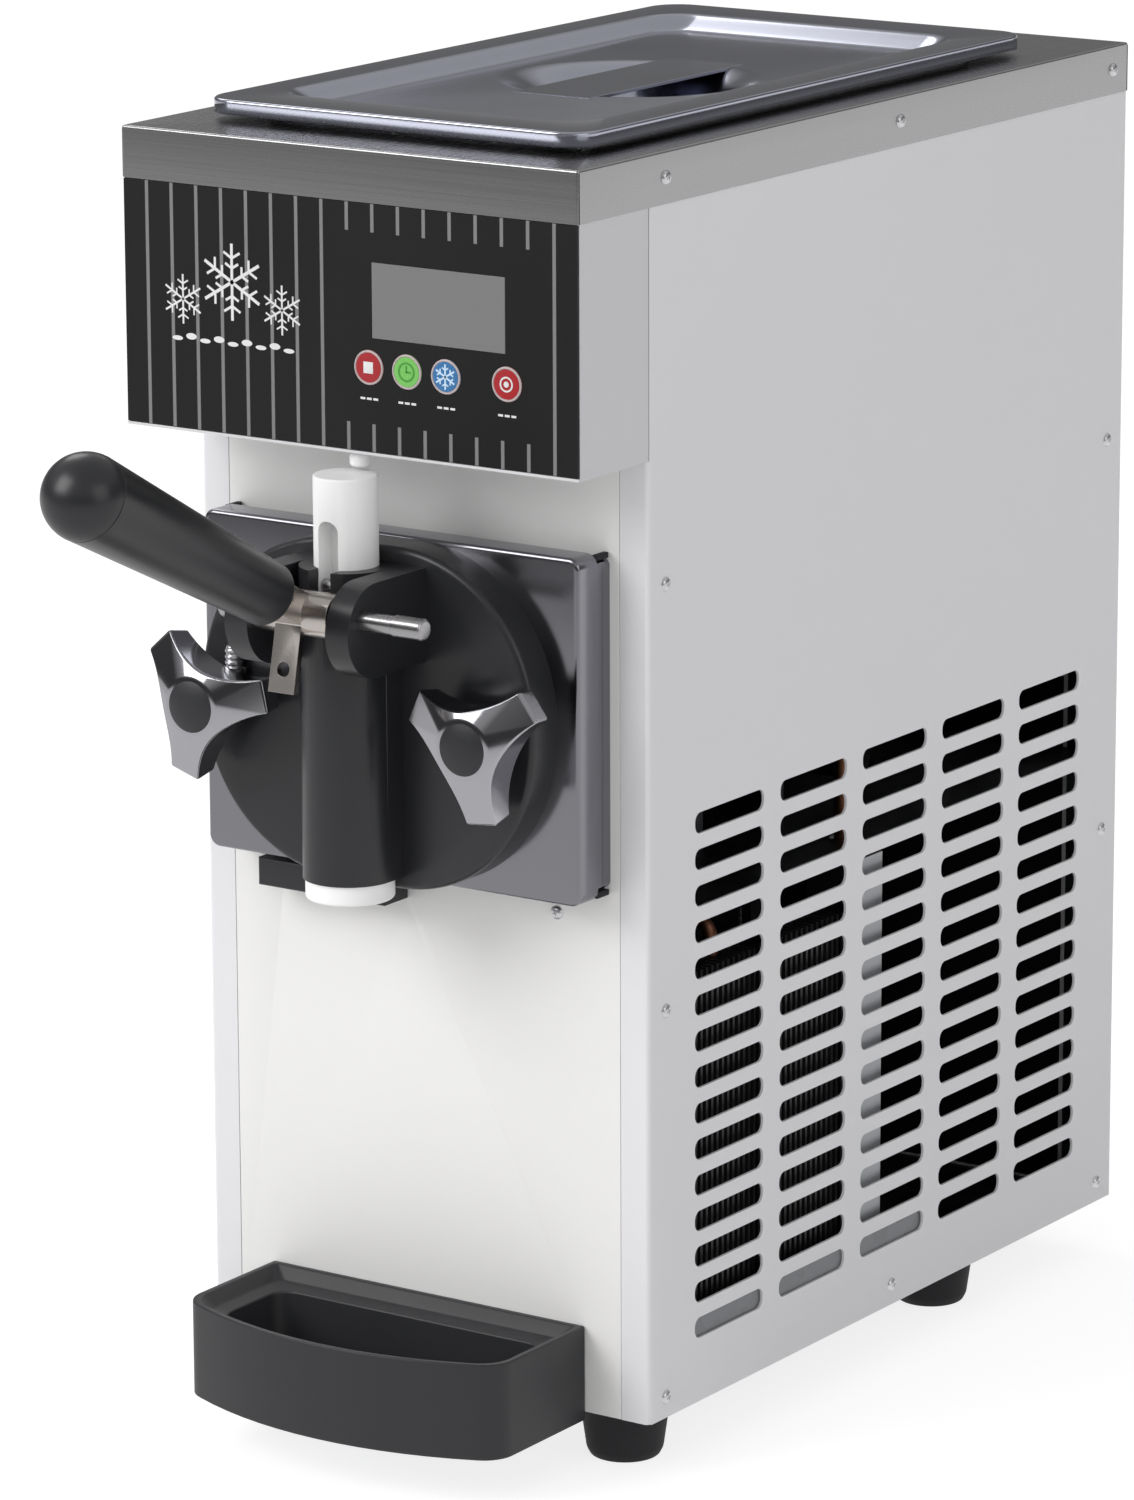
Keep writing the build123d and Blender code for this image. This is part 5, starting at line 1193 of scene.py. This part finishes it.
class SOFTSERVE_OT_inside(bpy.types.Operator):
    """Finishes of the frame, drive and cooling pieces behind the slots"""
    bl_idname = "softserve.inside"
    bl_label = "Inside"

    def execute(self, context):
        # Painted shade: the zinc, copper, fins, foam and screens inside are darkened for the dim inside.
        dress("zinc_sheet", "base_plate", "frame_posts", "cylinder_shelf", "fan_shroud")
        dress("hidden_steel", "freezing_cylinder", "beater", "evaporator_jacket")
        dress("white_plastic", "scraper_blades")
        dress("coated_fins", "condenser")
        dress("copper_pipe", "refrigerant_pipes")
        dress("machine_black", "compressor", "motor", "fan_motor")
        dress("cast_grey", "gearbox", "gearbox_pulley", "motor_pulley")
        dress("black_plastic", "control_box", "fan_blades", "cord_gland")
        dress("black_rubber", "drive_belt", "rear_seal")
        dress("elastomer_foam", "insulation_jacket")
        screens()
        return {"FINISHED"}


# Stage, in metres

LAMPS = (  # name, place, aim, size, power, roll
    ("key", (-1.9, -3.0, 2.6), (0, 0, 0.30), 2.4, 84.0, 0.0),
    ("side_fill", (3.2, -1.0, 1.6), (0, 0, 0.25), 2.2, 16.0, 0.0),
    ("top_soft", (-1.734, 1.199, 2.090), (-0.354, 0.099, 0.290), 1.0, 8.0, 45.0),
)
FLOOR_HALF = 9.0
FLOOR_GLOW = 0.60  # share of the floor's own light that the camera sees
LENS = 164.94
EYE = (1566.007, -2153.958, 928.165)  # millimetres
YAW, PITCH, ROLL = radians(34.171), radians(13.746), radians(-0.235)


def studio_floor():
    """White to the camera; in mirrors darker far ahead and far behind on the left."""
    bm = bmesh.new()
    bmesh.ops.create_grid(bm, x_segments=1, y_segments=1, size=FLOOR_HALF)
    mesh = meshed("studio_floor", bm)
    finish = Finish("studio_floor", Base_Color=grey(0.92), Roughness=0.9)
    seen, mirrored = finish.ray("Camera"), finish.ray("Glossy")
    depth, across = finish.along("Y"), finish.along("X")
    near = finish.blend(finish.ramp(depth, -4.2, -2.0), grey(0.10), grey(0.76))
    far = finish.blend(finish.ramp(across, -4.0, -2.6), grey(0.40), grey(1.05))
    reflected = finish.blend(finish.ramp(depth, -1.7, 1.6), near, far)
    tone = finish.blend(mirrored, grey(1.32), reflected)
    glow = finish.node("Emission", inputs={"Color": tone})
    mixed = finish.node("MixShader", inputs={
        0: seen * FLOOR_GLOW + mirrored, 1: Wire(finish, finish.shader.outputs[0]), 2: glow})
    finish.put(finish.tree.nodes["Material Output"], "Surface", mixed)
    mesh.materials.append(finish.material)
    floor = in_scene("studio_floor", mesh)


def studio_world():
    """White to the camera, dimmer from behind, with darker bands in mirrors."""
    world = bpy.data.worlds.new("studio")
    bpy.context.scene.world = world
    world.use_nodes = True
    nodes = Nodes(world.node_tree)
    back = nodes.tree.nodes["Background"]
    nodes.put(back, "Color", grey(1.0))
    toward = nodes.node("TexCoord", out="Generated")
    up, rear = nodes.along("Z", toward), nodes.along("Y", toward)
    behind = nodes.node("VectorMath", {"operation": "DOT_PRODUCT"}, {
        0: toward, 1: (0.5, 0.86, 0.0)}, out="Value")
    diffuse = 0.85 - nodes.ramp(behind, -0.9, 0.9) * 0.57
    ahead = 0.06 + nodes.ramp(up, 0.16, 0.30) * 0.40
    astern = 0.40 - nodes.ramp(up, 0.0, 0.10) * 0.24 + nodes.ramp(up, 0.30, 0.55) * 0.40
    glossy = ahead + nodes.ramp(rear, -0.35, 0.35) * (astern - ahead)
    level = diffuse + nodes.ray("Glossy") * (glossy - diffuse)
    clear = nodes.ray("Camera").larger(nodes.ray("Transmission"))
    nodes.put(back, "Strength", level + clear * (1.0 - level))


def lamp(name, place, aim, size, power, roll):
    data = bpy.data.lights.new(name, "AREA")
    data.size = size
    data.energy = power
    turn = (Vector(aim) - Vector(place)).to_track_quat("-Z", "Y").to_matrix().to_4x4()
    in_scene(name, data).matrix_world = at(*place) @ turn @ spun(roll)


def camera():
    data = bpy.data.cameras.new("camera")
    data.lens = LENS
    forward = Vector((-sin(YAW) * cos(PITCH), cos(YAW) * cos(PITCH), -sin(PITCH)))
    right = Vector((cos(YAW), sin(YAW), 0))
    up = right.cross(forward)
    across = right * cos(ROLL) + up * sin(ROLL)
    upward = up * cos(ROLL) - right * sin(ROLL)
    turn = Matrix((across, upward, -forward)).transposed()
    made = in_scene("camera", data)
    made.matrix_world = Matrix.Translation(PLACE @ Vector(EYE)) @ turn.to_4x4()
    bpy.context.scene.camera = made


class SOFTSERVE_OT_stage(bpy.types.Operator):
    """Pale floor, soft lamps, world and the camera at the photograph's angle"""
    bl_idname = "softserve.stage"
    bl_label = "Stage"

    def execute(self, context):
        studio_floor()
        studio_world()
        for row in LAMPS:
            lamp(*row)
        camera()
        context.scene.view_settings.view_transform = "Standard"
        return {"FINISHED"}


OPERATORS = (
    SOFTSERVE_OT_case, SOFTSERVE_OT_screws, SOFTSERVE_OT_lid, SOFTSERVE_OT_controls, SOFTSERVE_OT_dispenser,
    SOFTSERVE_OT_lever, SOFTSERVE_OT_knobs, SOFTSERVE_OT_tray, SOFTSERVE_OT_inside, SOFTSERVE_OT_stage,
)


class SOFTSERVE_PT_panel(bpy.types.Panel):
    """Lists the pieces that can be built"""
    bl_idname = "SOFTSERVE_PT_panel"
    bl_label = "Soft-serve machine"
    bl_space_type = "VIEW_3D"
    bl_region_type = "UI"
    bl_category = "Soft-serve"

    def draw(self, context):
        for operator in OPERATORS:
            self.layout.operator(operator.bl_idname)
        for group in (context.scene.softserve_colours, context.scene.softserve_sizes):
            for name in group.bl_rna.properties.keys():
                if name not in ("rna_type", "name"):
                    self.layout.prop(group, name)


CLASSES = (SoftServeColours, SoftServeSizes, *OPERATORS, SOFTSERVE_PT_panel)


def register():
    for cls in CLASSES:
        bpy.utils.register_class(cls)
    bpy.types.Scene.softserve_colours = PointerProperty(type=SoftServeColours)
    bpy.types.Scene.softserve_sizes = PointerProperty(type=SoftServeSizes)


def unregister():
    del bpy.types.Scene.softserve_sizes
    del bpy.types.Scene.softserve_colours
    for cls in reversed(CLASSES):
        bpy.utils.unregister_class(cls)


def main():
    register()
    for operator in OPERATORS:
        group, name = operator.bl_idname.split(".")
        getattr(getattr(bpy.ops, group), name)()


if __name__ == "__main__":
    main()
